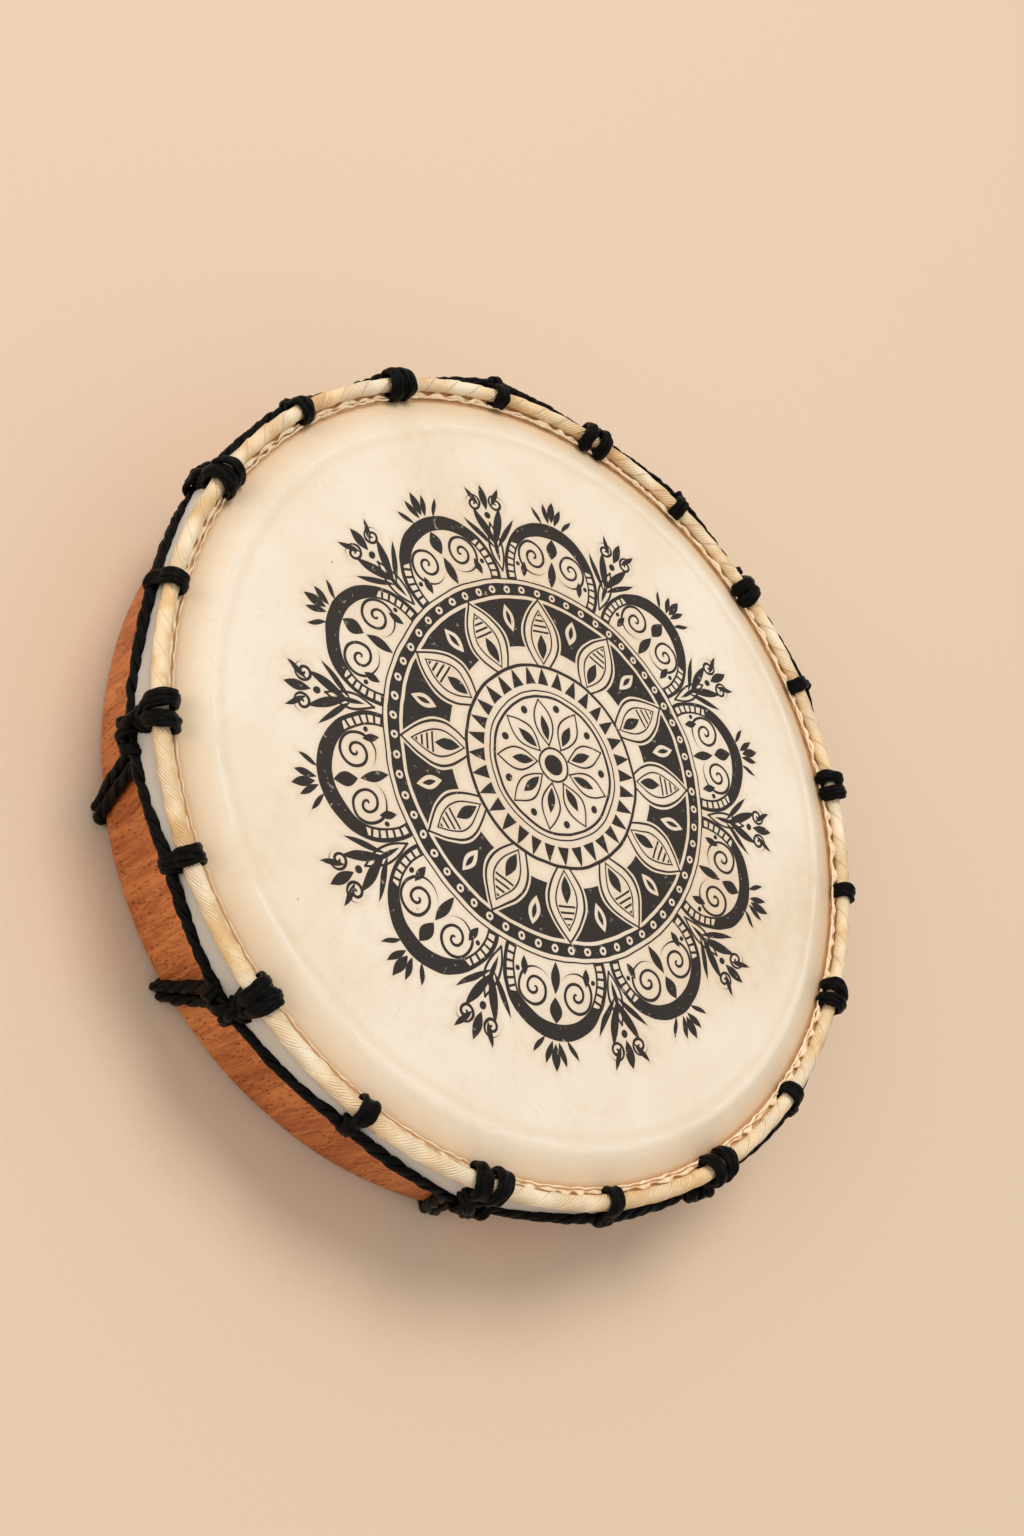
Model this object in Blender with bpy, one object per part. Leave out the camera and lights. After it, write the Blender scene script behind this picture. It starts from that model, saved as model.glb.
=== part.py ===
"""A round frame drum with a rawhide head, laced with black cord. It lies on its open back, head up.

Metres, +Z up. The origin is on the drum's axis, at the height of the surface that the drum lies on.
Profiles are lists of (radius, height) points.
"""

import math

import bmesh
import bpy
from mathutils import Vector

# Driving dimensions, in metres and degrees
SHELL_RADIUS = 0.200  # outside of the wood
SHELL_WALL = 0.019
SHELL_DEPTH = 0.070  # from the back edge to the crest of the bearing edge
BEARING_SLOPE = 20.0  # how steeply the bearing edge falls from its crest to the outside
CREASE_ROUND = 0.006  # radius of the crest that the head is stretched over
SHOULDER_ROUND = 0.003  # radius between the bearing edge and the outside
EDGE_ROUND = 0.0015  # bevel of the shell's other edges
SKIN_THICKNESS = 0.0010
HEM_THICKNESS = 0.0060  # the folded skin on the side, under the hoop
HEM_HEIGHT = 0.0140
HEM_BULGE = 0.0010  # how much the hem's side swells out in the middle
TRIM_THICKNESS = 0.0012  # the skin's trimmed edge, which stands up inside the hoop
TRIM_RISE = 0.0026
HOOP_TUBE = 0.0078  # diameter of the hoop with its wrapping
HOOP_DROP = 0.0013  # the hoop's centre below the top of the head
CORD = 0.0045  # diameter of the lacing
KNOTS = 20  # loops round the hoop, small and large in turn
CORD_RAISED = 0.0060  # running cord above the hem's lower edge, at a small loop
CORD_LOWERED = 0.0100  # running cord below the hem's lower edge, at a large hitch
CORD_STEPS = 3  # straight lengths of running cord from one loop to the next
LOOP_WIDTH = 0.0072
LOOP_THICKNESS = 0.0022
HITCH_WIDTH = 0.0136
HITCH_THICKNESS = 0.0026
STEM_WIDTH = 0.0090
STEM_THICKNESS = 0.0032
KNOT_WIDTH = 0.0116
KNOT_THICKNESS = 0.0038
PRESSED_THICKNESS = 0.0011  # a loop where it is squeezed under the hoop
HITCH_GROOVE = 0.55  # depth of the groove between a hitch's two turns, as a share of its half thickness
PAIR_AT_KNOT = 0.0080  # between the two strands of a tension cord, at its knot
PAIR_AT_RIM = 0.0054
LEAN = 5.5  # how far round the shell a tension cord moves on its way to the back edge, in degrees
GRIP_RADIUS = 0.040  # centre line of the grip ring
GRIP_TUBE = 0.0080

# The maker spaced the loops by eye: they drift round the hoop by these angles, in degrees.
FIRST_LOOP = 171.65
DRIFT_ONCE, DRIFT_ONCE_FROM = 1.49, 7.7
DRIFT_TWICE, DRIFT_TWICE_FROM = 1.35, 27.9

# Clearances
GAP = 0.0003  # between pieces that touch
LOOP_CLEARANCE = 0.0007  # between a loop and the hoop inside it

# How finely round forms are cut
SEGMENTS = 60
GRIP_SEGMENTS = 30
TUBE_SIDES = 8
CORD_SIDES = 6


# Heights and radii that follow from the sizes above
BACK_EDGE = CORD + GAP
CREST = BACK_EDGE + SHELL_DEPTH
HEAD_TOP = CREST + GAP + SKIN_THICKNESS
HOOP_HEIGHT = HEAD_TOP - HOOP_DROP
HEM_TOP = HOOP_HEIGHT - HOOP_TUBE / 2 - LOOP_CLEARANCE - PRESSED_THICKNESS - GAP
HEM_BOTTOM = HEM_TOP - HEM_HEIGHT
HEM_RADIUS = SHELL_RADIUS + GAP + HEM_THICKNESS
HOOP_RADIUS = SHELL_RADIUS + HEM_THICKNESS
TRIM_RADIUS = HOOP_RADIUS - HOOP_TUBE / 2 - LOOP_CLEARANCE - HITCH_THICKNESS - GAP


def sag(radius, segments):
    """How far the middle of a flat facet lies inside the circle through its ends."""
    return radius * (1 - math.cos(math.pi / segments))


CORD_ON_HEM = HEM_RADIUS + GAP + sag(HEM_RADIUS, SEGMENTS) + CORD / 2
CORD_ON_SHELL = SHELL_RADIUS + GAP + CORD / 2


def clear_scene():
    for thing in list(bpy.data.objects):
        bpy.data.objects.remove(thing, do_unlink=True)


def material(name, colour, roughness):
    made = bpy.data.materials.new(name)
    made.use_nodes = True
    shader = made.node_tree.nodes["Principled BSDF"]
    shader.inputs["Base Color"].default_value = (*colour, 1.0)
    shader.inputs["Roughness"].default_value = roughness
    shader.inputs["Metallic"].default_value = 0.0
    return made


def mesh_from(bm, name, finish, sharp=35.0):
    """The finished mesh: faces out, smooth except at edges sharper than the angle given."""
    bmesh.ops.recalc_face_normals(bm, faces=bm.faces)
    mesh = bpy.data.meshes.new(name)
    bm.to_mesh(mesh)
    bm.free()
    mesh.materials.append(finish)
    mesh.shade_smooth()
    mesh.set_sharp_from_angle(angle=math.radians(sharp))
    return mesh


def place(name, mesh, parent, turn=0.0):
    """A named piece of the drum, turned about the drum's axis by an angle in degrees."""
    piece = bpy.data.objects.new(name, mesh)
    bpy.context.scene.collection.objects.link(piece)
    piece.parent = parent
    piece.rotation_euler = (0.0, 0.0, math.radians(turn))
    return piece


def polar(radius, degrees, height):
    turn = math.radians(degrees)
    return Vector((radius * math.cos(turn), radius * math.sin(turn), height))


def tangent(degrees):
    turn = math.radians(degrees)
    return Vector((-math.sin(turn), math.cos(turn), 0.0))


def arc(centre, radius, start, end, steps):
    """Points of an arc in a profile, angles in degrees from the outward direction."""
    angles = [math.radians(start + (end - start) * i / steps) for i in range(steps + 1)]
    return [(centre[0] + radius * math.cos(a), centre[1] + radius * math.sin(a)) for a in angles]


def wrap(centre, radius, start, end, steps):
    """Corners of straight lengths that touch a circle, from the angle start to the angle end."""
    half = (end - start) / steps / 2
    reach = radius / math.cos(math.radians(half))
    return arc(centre, reach, start + half, end - half, steps - 1)


def offset(line, distance):
    """The line moved sideways, to the left of its direction, with mitred corners."""
    moved = []
    for i, (r, z) in enumerate(line):
        ends = [line[max(i - 1, 0)], (r, z), line[min(i + 1, len(line) - 1)]]
        runs = [(b[0] - a[0], b[1] - a[1]) for a, b in zip(ends, ends[1:]) if a != b]
        sides = [(-dz / math.hypot(dr, dz), dr / math.hypot(dr, dz)) for dr, dz in runs]
        across = [sum(s[k] for s in sides) / len(sides) for k in (0, 1)]
        stretch = distance / (across[0] ** 2 + across[1] ** 2)
        moved.append((r + across[0] * stretch, z + across[1] * stretch))
    return moved


def height_on(start, end, radius):
    """The height of a straight line through two profile points, at a radius."""
    share = (radius - start[0]) / (end[0] - start[0])
    return start[1] + (end[1] - start[1]) * share


def turned(name, profile, finish, segments=SEGMENTS, sharp=35.0):
    """A body turned about the drum's axis from a profile, which closes on itself or on the axis."""
    bm = bmesh.new()
    points = [bm.verts.new((r, 0.0, z)) for r, z in profile]
    pairs = list(zip(points, points[1:]))
    if profile[0][0] > 0.0:
        pairs.append((points[-1], points[0]))
    edges = [bm.edges.new(pair) for pair in pairs]
    bmesh.ops.spin(
        bm,
        geom=points + edges,
        cent=(0.0, 0.0, 0.0),
        axis=(0.0, 0.0, 1.0),
        angle=2 * math.pi,
        steps=segments,
        use_merge=True,
    )
    bmesh.ops.remove_doubles(bm, verts=bm.verts, dist=1e-6)
    return mesh_from(bm, name, finish, sharp)


def swept(name, centres, sides, sections, finish, closed=False):
    """A body whose section follows a line of centres.

    Each section lists (sideways, outward) offsets, and each side is the sideways direction there.
    """
    bm = bmesh.new()
    rings = []
    count = len(centres)
    for i, centre in enumerate(centres):
        leaving = centres[(i + 1) % count] - centre
        arriving = centre - centres[i - 1]
        if not closed and i == 0:
            arriving = leaving
        if not closed and i == count - 1:
            leaving = arriving
        arriving.normalize()
        along = (arriving + leaving.normalized()).normalized()
        side = (sides[i] - along * sides[i].dot(along)).normalized()
        outward = side.cross(along) / along.dot(arriving)
        rings.append([bm.verts.new(centre + side * a + outward * b) for a, b in sections[i]])
    pairs = list(zip(rings, rings[1:]))
    if closed:
        pairs.append((rings[-1], rings[0]))
    for one, two in pairs:
        for k in range(len(one)):
            bm.faces.new((one[k - 1], one[k], two[k], two[k - 1]))
    if not closed:
        bm.faces.new(rings[0])
        bm.faces.new(rings[-1])
    return mesh_from(bm, name, finish, sharp=60.0)


def cord_section():
    angles = [math.radians(90 + 360 * i / CORD_SIDES) for i in range(CORD_SIDES)]
    return [(CORD / 2 * math.cos(a), CORD / 2 * math.sin(a)) for a in angles]


def band_section(width, thickness):
    """A flat band of cords with rounded edges."""
    w, t = width / 2, thickness / 2
    return [(w, 0.0), (0.72 * w, t), (-0.72 * w, t), (-w, 0.0), (-0.72 * w, -t), (0.72 * w, -t)]


def double_section(width, thickness, groove):
    """Two turns of cord side by side, with a groove between them on the outward side."""
    w, t = width / 2, thickness / 2
    top = [(w, 0.0), (0.6 * w, t), (0.0, t * (1 - groove)), (-0.6 * w, t), (-w, 0.0)]
    return top + [(-0.65 * w, -t), (0.65 * w, -t)]


def bearing_edge():
    """The shell's front edge, from the crest outwards and down to the side."""
    crest_radius = SHELL_RADIUS - SHELL_WALL + EDGE_ROUND
    crease = arc((crest_radius, CREST - CREASE_ROUND), CREASE_ROUND, 90, 90 - BEARING_SLOPE, 2)
    centre_radius = SHELL_RADIUS - SHOULDER_ROUND
    slope = math.radians(BEARING_SLOPE)
    start_radius = centre_radius + SHOULDER_ROUND * math.sin(slope)
    start_height = crease[-1][1] - (start_radius - crease[-1][0]) * math.tan(slope)
    centre = (centre_radius, start_height - SHOULDER_ROUND * math.cos(slope))
    return crease, arc(centre, SHOULDER_ROUND, 90 - BEARING_SLOPE, 0, 3)


def shell_mesh(finish):
    """The wooden shell: a plain wall with a bearing edge in front and bevelled edges at the back."""
    crease, shoulder = bearing_edge()
    inside = SHELL_RADIUS - SHELL_WALL
    back = [
        (SHELL_RADIUS, BACK_EDGE + EDGE_ROUND),
        (SHELL_RADIUS - EDGE_ROUND, BACK_EDGE),
        (inside + EDGE_ROUND, BACK_EDGE),
        (inside, BACK_EDGE + EDGE_ROUND),
    ]
    return turned("shell", crease + shoulder + back + [(inside, CREST - EDGE_ROUND)], finish)


def skin_mesh(finish):
    """The head, its slope over the bearing edge, the trimmed edge, and the hem on the side."""
    crease, shoulder = bearing_edge()
    under = offset(crease + shoulder, GAP)
    over = offset(crease + shoulder, GAP + SKIN_THICKNESS)[: len(crease) + 1]
    trim_inside = TRIM_RADIUS - TRIM_THICKNESS
    valley = height_on(over[-2], over[-1], trim_inside)
    foot = height_on(over[-2], over[-1], TRIM_RADIUS)
    middle = (HEM_TOP + HEM_BOTTOM) / 2
    outside = [
        (0.0, HEAD_TOP),
        *over[:-1],
        (trim_inside, valley),
        (trim_inside, valley + TRIM_RISE),
        (TRIM_RADIUS, valley + TRIM_RISE),
        (TRIM_RADIUS, foot),
        (SHELL_RADIUS + 1.5 * SKIN_THICKNESS, HEM_TOP),
        (HEM_RADIUS - 1.5 * HEM_BULGE, HEM_TOP),
        (HEM_RADIUS - HEM_BULGE / 4, HEM_TOP - 2 * HEM_BULGE),
        (HEM_RADIUS, middle),
        (HEM_RADIUS - HEM_BULGE / 2, HEM_BOTTOM + 2 * HEM_BULGE),
        (HEM_RADIUS - 2.5 * HEM_BULGE, HEM_BOTTOM),
    ]
    inside = [(SHELL_RADIUS + GAP, HEM_BOTTOM), *reversed(under), (0.0, CREST + GAP)]
    return turned("skin", outside + inside, finish, sharp=25.0)


def ring_profile(radius, height, tube):
    """A round section, as corners on its circle."""
    return arc((radius, height), tube / 2, 0, 360, TUBE_SIDES)[:-1]


def loop_angles():
    """Where the loops sit round the hoop, in degrees, clockwise from the first large one."""
    angles = []
    for k in range(KNOTS):
        even = FIRST_LOOP - 360 * k / KNOTS
        once = DRIFT_ONCE * math.sin(math.radians(even + DRIFT_ONCE_FROM))
        twice = DRIFT_TWICE * math.sin(math.radians(2 * even + DRIFT_TWICE_FROM))
        angles.append(even + once + twice)
    return angles


def running_cord_mesh(finish):
    """One cord all round: high on the hem at each small loop, low on the wood at each large one."""
    angles = loop_angles()
    centres, sides = [], []
    for k in range(KNOTS):
        here, there = angles[k], angles[(k + 1) % KNOTS]
        if there > here:
            there -= 360
        for step in range(CORD_STEPS):
            share = step / CORD_STEPS
            down = 1 - share if k % 2 == 0 else share
            turn = here + (there - here) * share
            height = HEM_BOTTOM + CORD_RAISED - (CORD_RAISED + CORD_LOWERED) * down
            falling = max(0.0, (down - 1 / CORD_STEPS) / (1 - 1 / CORD_STEPS))
            radius = CORD_ON_HEM + (CORD_ON_SHELL + sag(CORD_ON_SHELL, SEGMENTS) - CORD_ON_HEM) * falling
            centres.append(polar(radius, turn, height))
            sides.append(polar(1.0, turn, 0.0))
    sections = [cord_section()] * len(centres)
    return swept("running_cord", centres, sides, sections, finish, closed=True)


def around_hoop(thickness, start, steps):
    """The line of a loop over the hoop, from the angle start over the top to its inner side."""
    radius = HOOP_TUBE / 2 + LOOP_CLEARANCE + thickness / 2
    return wrap((HOOP_RADIUS, HOOP_HEIGHT), radius, start, 190, steps)


def under_hoop():
    """The line of a loop where it is pressed between the hoop and the hem."""
    radius = HOOP_TUBE / 2 + LOOP_CLEARANCE + PRESSED_THICKNESS / 2
    return wrap((HOOP_RADIUS, HOOP_HEIGHT), radius, 190, 310, 3)


def over_cord(centre, thickness, start, end, steps):
    """The line of a loop where it hooks round the running cord from outside."""
    radius = CORD / 2 + GAP + thickness / 2
    return wrap(centre, radius, start, end, steps)


def banded(name, line, sections, finish):
    """A band that follows a line in a profile, at the side of the drum where the angle is nought."""
    centres = [polar(r, 0.0, z) for r, z in line]
    return swept(name, centres, [tangent(0.0)] * len(centres), sections, finish)


def small_loop_mesh(finish):
    """A flat band round the hoop, whose outer end hooks over the running cord."""
    hook = over_cord((CORD_ON_HEM, HEM_BOTTOM + CORD_RAISED), LOOP_THICKNESS, -95, 25, 3)
    over = around_hoop(LOOP_THICKNESS, 0, 5)
    under = under_hoop()
    sections = [band_section(LOOP_WIDTH, LOOP_THICKNESS)] * (len(hook) + len(over))
    sections += [band_section(LOOP_WIDTH, PRESSED_THICKNESS)] * len(under)
    return banded("small_loop", hook + over + under, sections, finish)


def large_hitch_mesh(finish):
    """Two turns round the hoop, a stem down over the hem, and a knot on the running cord."""
    knot_centre = (CORD_ON_SHELL + sag(CORD_ON_SHELL, SEGMENTS), HEM_BOTTOM - CORD_LOWERED)
    knot = over_cord(knot_centre, KNOT_THICKNESS, -100, 40, 3)
    stem_radius = HEM_RADIUS + 2 * GAP + STEM_THICKNESS / 2
    stem = [(stem_radius, HEM_BOTTOM + 2 * HEM_BULGE), (stem_radius, HEM_TOP - 2 * HEM_BULGE)]
    over = around_hoop(HITCH_THICKNESS, -38, 6)
    under = under_hoop()
    sections = [double_section(KNOT_WIDTH, KNOT_THICKNESS, 0.0)] * len(knot)
    sections += [double_section(STEM_WIDTH, STEM_THICKNESS, HITCH_GROOVE / 2)] * len(stem)
    sections += [double_section(HITCH_WIDTH, HITCH_THICKNESS, HITCH_GROOVE)] * len(over)
    sections += [double_section(HITCH_WIDTH, PRESSED_THICKNESS, 0.0)] * len(under)
    return banded("large_hitch", knot + stem + over + under, sections, finish)


def half_strand(lean, offset_sign, ring_height, rising):
    """One strand from its knot down the side, round the back edge and in to the grip ring."""
    knot_reach = CORD / 2 + 2 * GAP + KNOT_THICKNESS
    top = HEM_BOTTOM - CORD_LOWERED - knot_reach
    corner = wrap((SHELL_RADIUS, BACK_EDGE), GAP + CORD / 2, 0, -90, 2)
    bottom = corner[-1][1]
    half = (top + corner[0][1]) / 2
    side = [(CORD_ON_SHELL, top, 0.0), (CORD_ON_SHELL, half, lean / 2)]
    side += [(r, z, lean) for r, z in corner]
    if rising:
        side.append((SHELL_RADIUS - SHELL_WALL, bottom, lean))
    bend = wrap((GRIP_RADIUS, ring_height), ring_height - CORD / 2, 90 if rising else 270, 180, 2)
    spread = [PAIR_AT_KNOT, (PAIR_AT_KNOT + PAIR_AT_RIM) / 2] + [PAIR_AT_RIM] * len(side)
    line = side + [(r, z, lean) for r, z in bend]
    return [(r, z, a, offset_sign * s / 2) for (r, z, a), s in zip(line, spread + [PAIR_AT_RIM] * 2)]


def tension_cord_mesh(name, lean, finish):
    """A doubled cord: in along one strand, round the grip ring, and out along the other."""
    ring_height = grip_height()
    over = half_strand(lean, 1.0, ring_height, rising=True)
    under = half_strand(lean, -1.0, ring_height, rising=False)
    line = over + list(reversed(under))
    centres = [polar(r, a, z) + tangent(a) * s for r, z, a, s in line]
    sides = [tangent(a) for _, _, a, _ in line]
    return swept(name, centres, sides, [cord_section()] * len(line), finish)


def grip_height():
    """The grip ring's centre, with a strand between the ring and the surface below."""
    return CORD + GAP + sag(GRIP_RADIUS, GRIP_SEGMENTS) + GRIP_TUBE / 2


def build():
    clear_scene()
    drum = bpy.data.objects.new("drum", None)
    bpy.context.scene.collection.objects.link(drum)
    wood = material("red_brown_wood", (0.376, 0.122, 0.042), 0.45)
    hide = material("rawhide", (0.78, 0.64, 0.46), 0.55)
    strip = material("pale_wrapping", (0.80, 0.60, 0.36), 0.5)
    cord = material("black_cord", (0.010, 0.009, 0.008), 0.5)
    binding = material("grip_binding", (0.012, 0.010, 0.009), 0.6)

    place("shell", shell_mesh(wood), drum)
    place("skin", skin_mesh(hide), drum)
    hoop = ring_profile(HOOP_RADIUS, HOOP_HEIGHT, HOOP_TUBE)
    place("wrapped_hoop", turned("wrapped_hoop", hoop, strip, sharp=60.0), drum)
    place("running_cord", running_cord_mesh(cord), drum)
    grip = ring_profile(GRIP_RADIUS, grip_height(), GRIP_TUBE)
    place("grip_ring", turned("grip_ring", grip, binding, GRIP_SEGMENTS, sharp=60.0), drum)

    small = small_loop_mesh(cord)
    large = large_hitch_mesh(cord)
    tension = [tension_cord_mesh("tension_cord", lean, cord) for lean in (LEAN, -LEAN)]
    for k, turn in enumerate(loop_angles()):
        number = f"{k // 2 + 1:02d}"
        if k % 2:
            place(f"small_loop_{number}", small, drum, turn)
        else:
            place(f"large_hitch_{number}", large, drum, turn)
            place(f"tension_cord_{number}", tension[k // 2 % 2], drum, turn)


build()
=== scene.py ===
"""A round frame drum with a printed rawhide head, laced with black cord, lying on its open back.

Metres, +Z up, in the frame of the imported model. The drum's axis is the Z axis.
"""

import math
from functools import partial, reduce

import bpy
import numpy as np
from mathutils import Matrix, Vector


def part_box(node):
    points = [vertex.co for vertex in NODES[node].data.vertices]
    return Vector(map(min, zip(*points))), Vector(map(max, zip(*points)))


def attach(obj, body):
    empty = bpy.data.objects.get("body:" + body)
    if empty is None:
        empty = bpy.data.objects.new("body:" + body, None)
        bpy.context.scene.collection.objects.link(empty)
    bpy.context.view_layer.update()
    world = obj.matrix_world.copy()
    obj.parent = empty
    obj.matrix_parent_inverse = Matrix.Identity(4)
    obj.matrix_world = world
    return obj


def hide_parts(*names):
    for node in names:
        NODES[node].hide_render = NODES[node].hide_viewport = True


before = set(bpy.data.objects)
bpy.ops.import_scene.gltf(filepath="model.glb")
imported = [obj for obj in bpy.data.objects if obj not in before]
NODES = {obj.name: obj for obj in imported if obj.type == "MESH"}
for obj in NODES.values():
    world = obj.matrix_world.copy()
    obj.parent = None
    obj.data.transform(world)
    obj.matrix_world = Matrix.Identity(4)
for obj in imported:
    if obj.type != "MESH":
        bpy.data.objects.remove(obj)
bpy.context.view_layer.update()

TURN = 2 * math.pi

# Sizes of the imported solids
SHELL_LOW, SHELL_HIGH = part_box("shell")
SHELL_RADIUS = SHELL_HIGH.x
BACK_EDGE = SHELL_LOW.z
CREST = SHELL_HIGH.z
SKIN_LOW, SKIN_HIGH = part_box("skin")
HEM_RADIUS = SKIN_HIGH.x
HEM_BOTTOM = SKIN_LOW.z
HEAD_TOP = SKIN_HIGH.z
HOOP_LOW, HOOP_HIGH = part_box("wrapped_hoop")
HOOP_TUBE = HOOP_HIGH.z - HOOP_LOW.z
HOOP_HEIGHT = (HOOP_HIGH.z + HOOP_LOW.z) / 2
HOOP_RADIUS = HOOP_HIGH.x - HOOP_TUBE / 2
WOUND_TUBE = HOOP_TUBE - 0.0007  # the wound hoop as it shows, thinner than its solid
WOUND_RADIUS = HOOP_RADIUS - 0.0009
CORD_LOW, CORD_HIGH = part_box("running_cord")
GRIP_LOW, GRIP_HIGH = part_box("grip_ring")
GRIP_TUBE = GRIP_HIGH.z - GRIP_LOW.z
GRIP_HEIGHT = (GRIP_HIGH.z + GRIP_LOW.z) / 2
GRIP_RADIUS = GRIP_HIGH.x - GRIP_TUBE / 2

# The drum's own sizes that the boxes don't give
CORD = 0.0045
GAP = 0.0003
SHELL_WALL = 0.019
SKIN_THICKNESS = 0.0010
BEARING_SLOPE = 20.0
CREASE_ROUND = 0.006
SHOULDER_ROUND = 0.003
EDGE_ROUND = 0.0015
KNOTS = 20  # small loops and large hitches together
CORD_TOP = CORD_HIGH.z - CORD / 2  # the solid running cord at a small loop
CORD_BOTTOM = CORD_LOW.z + CORD / 2  # the solid running cord at a large hitch
CORD_ON_SHELL = SHELL_RADIUS + GAP + CORD / 2
PAIR_AT_KNOT = 0.0080
PAIR_AT_RIM = 0.0054
TRIM_FOOT = 0.1984  # radius where the skin's trimmed edge stands up
TRIM_HEIGHT = 0.0727  # middle of the trimmed edge
TRIM_LINKS = 104  # scallops of the trimmed edge

# Where the random draws start
LOOP_SEED, HITCH_SEED, TRIM_SEED = 100, 200, 11

# Radii at which the head's shape, its finish or its painted shade and highlight changes
SHADED_LINE = 0.1775
CREASE_WEAR_AND_HIGHLIGHT = 0.1812
CREASE_MIDDLE = 0.1845
SLOPE_START = 0.1860
GROOVE = 0.1979
FOLD_START = 0.2022
HEM_FINISH = 0.2040
HEM_START = 0.2045


# Nodes, written as expressions


def feed(socket, value):
    """Gives a socket a field, another socket's link or a plain value."""
    if isinstance(value, Field):
        value = value.socket
    if isinstance(value, bpy.types.NodeSocket):
        socket.id_data.links.new(value, socket)
    else:
        socket.default_value = value


def work_out(operation, *terms):
    """The result of one Math node. At least one of the terms is a field."""
    tree = next(term.socket.id_data for term in terms if isinstance(term, Field))
    node = tree.nodes.new("ShaderNodeMath")
    node.operation = operation
    for socket, term in zip(node.inputs, terms):
        feed(socket, term)
    return Field(node.outputs[0])


def sign(operation, swapped=False):
    """What an operator of a field does: one Math node, with its terms swapped where the field comes last."""
    if swapped:
        return lambda field, other: work_out(operation, other, field)
    return lambda field, *other: work_out(operation, field, *other)


class Field:
    """A number that a node gives. Sums and products of fields add the nodes that work them out."""

    __add__ = __radd__ = sign("ADD")
    __sub__ = sign("SUBTRACT")
    __rsub__ = sign("SUBTRACT", swapped=True)
    __mul__ = __rmul__ = sign("MULTIPLY")
    __truediv__ = sign("DIVIDE")
    __mod__ = sign("FLOORED_MODULO")
    __abs__ = sign("ABSOLUTE")

    def __init__(self, socket):
        self.socket = socket

    def __neg__(self):
        return self * -1.0


root = partial(work_out, "SQRT")
sine = partial(work_out, "SINE")
cosine = partial(work_out, "COSINE")
angle_of = partial(work_out, "ARCTAN2")  # from a distance across and one along


def away(x, y):
    """The distance from the axis at a place beside it."""
    return root(x * x + y * y)


def off_half(number):
    """How far a number lies from the middle between two whole ones."""
    return abs(number % 1.0 - 0.5)


def least(*terms):
    return reduce(partial(work_out, "MINIMUM"), terms)


def most(*terms):
    return reduce(partial(work_out, "MAXIMUM"), terms)


class Net:
    """A node tree with short ways to add the nodes used here."""

    def __init__(self, tree):
        self.tree = tree

    def add(self, kind, settings=None, inputs=None):
        """Any node: its settings are set first, then its sockets get values or links."""
        node = self.tree.nodes.new(kind)
        for name, setting in (settings or {}).items():
            setattr(node, name, setting)
        for name, value in (inputs or {}).items():
            feed(node.inputs[name], value)
        return node

    def result(self, kind, settings=None, inputs=None):
        """The first output of a node."""
        return self.add(kind, settings, inputs).outputs[0]

    def split(self, vector):
        node = self.add("ShaderNodeSeparateXYZ", inputs={0: vector})
        return [Field(socket) for socket in node.outputs]

    def join(self, x, y, z):
        return self.result("ShaderNodeCombineXYZ", inputs={0: x, 1: y, 2: z})

    def vector(self, operation, *vectors):
        """The result of one Vector Math node."""
        return self.result("ShaderNodeVectorMath", {"operation": operation}, dict(enumerate(vectors)))

    def scaled(self, vector, by):
        return self.result("ShaderNodeVectorMath", {"operation": "SCALE"}, {0: vector, "Scale": by})

    def noise(self, vector, scale, detail=2.0, roughness=0.5, distortion=0.0):
        inputs = {"Vector": vector, "Scale": scale, "Detail": detail, "Roughness": roughness}
        return Field(self.result("ShaderNodeTexNoise", inputs={**inputs, "Distortion": distortion}))

    def cells(self, vector, scale):
        """The distance to the nearest of scattered points, and a number of that point's own."""
        node = self.add("ShaderNodeTexVoronoi", inputs={"Vector": vector, "Scale": scale})
        own = self.split(node.outputs["Color"])[0]
        return Field(node.outputs["Distance"]), own

    def ramp(self, value, low, high, start=0.0, end=1.0):
        """A smooth rise from start to end while the value goes from low to high."""
        inputs = {0: value, 1: low, 2: high, 3: start, 4: end}
        return Field(self.result("ShaderNodeMapRange", {"interpolation_type": "SMOOTHSTEP"}, inputs))

    def layered(self, ground, *layers):
        """A colour with others laid over it in turn, each given as its share and its colour."""
        for share, over in layers:
            inputs = {0: share, 6: ground, 7: over}
            ground = self.add("ShaderNodeMix", {"data_type": "RGBA"}, inputs).outputs[2]
        return ground

    def bump(self, height, depth):
        """A normal from a height of nought to one, as deep as the depth given."""
        return self.result("ShaderNodeBump", inputs={"Height": height, "Distance": depth, "Strength": 1.0})


def colour(red, green, blue):
    """A colour from the numbers of a colour chart, from 0 to 255."""
    shares = [c / 255 for c in (red, green, blue)]
    return (*[s / 12.92 if s <= 0.04045 else ((s + 0.055) / 1.055) ** 2.4 for s in shares], 1.0)


def material(name, dress, plain=None):
    """A material: dress gives what varies over the surface, plain gives what doesn't."""
    made = bpy.data.materials.new(name)
    made.use_nodes = True
    net = Net(made.node_tree)
    shader = made.node_tree.nodes["Principled BSDF"]
    for socket, value in (plain or {}).items():
        shader.inputs[socket].default_value = value
    for socket, value in dress(net).items():
        feed(shader.inputs[socket], value)
    return made


def object_point(net):
    """The place on a piece, in the drum's own frame."""
    return net.add("ShaderNodeTexCoord").outputs["Object"]


# Finishes


WOOD_DARK = colour(166, 86, 38)
WOOD_MID = colour(212, 128, 68)
WOOD_LIGHT = colour(224, 150, 90)
WOOD_PORE = colour(84, 40, 18)


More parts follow.
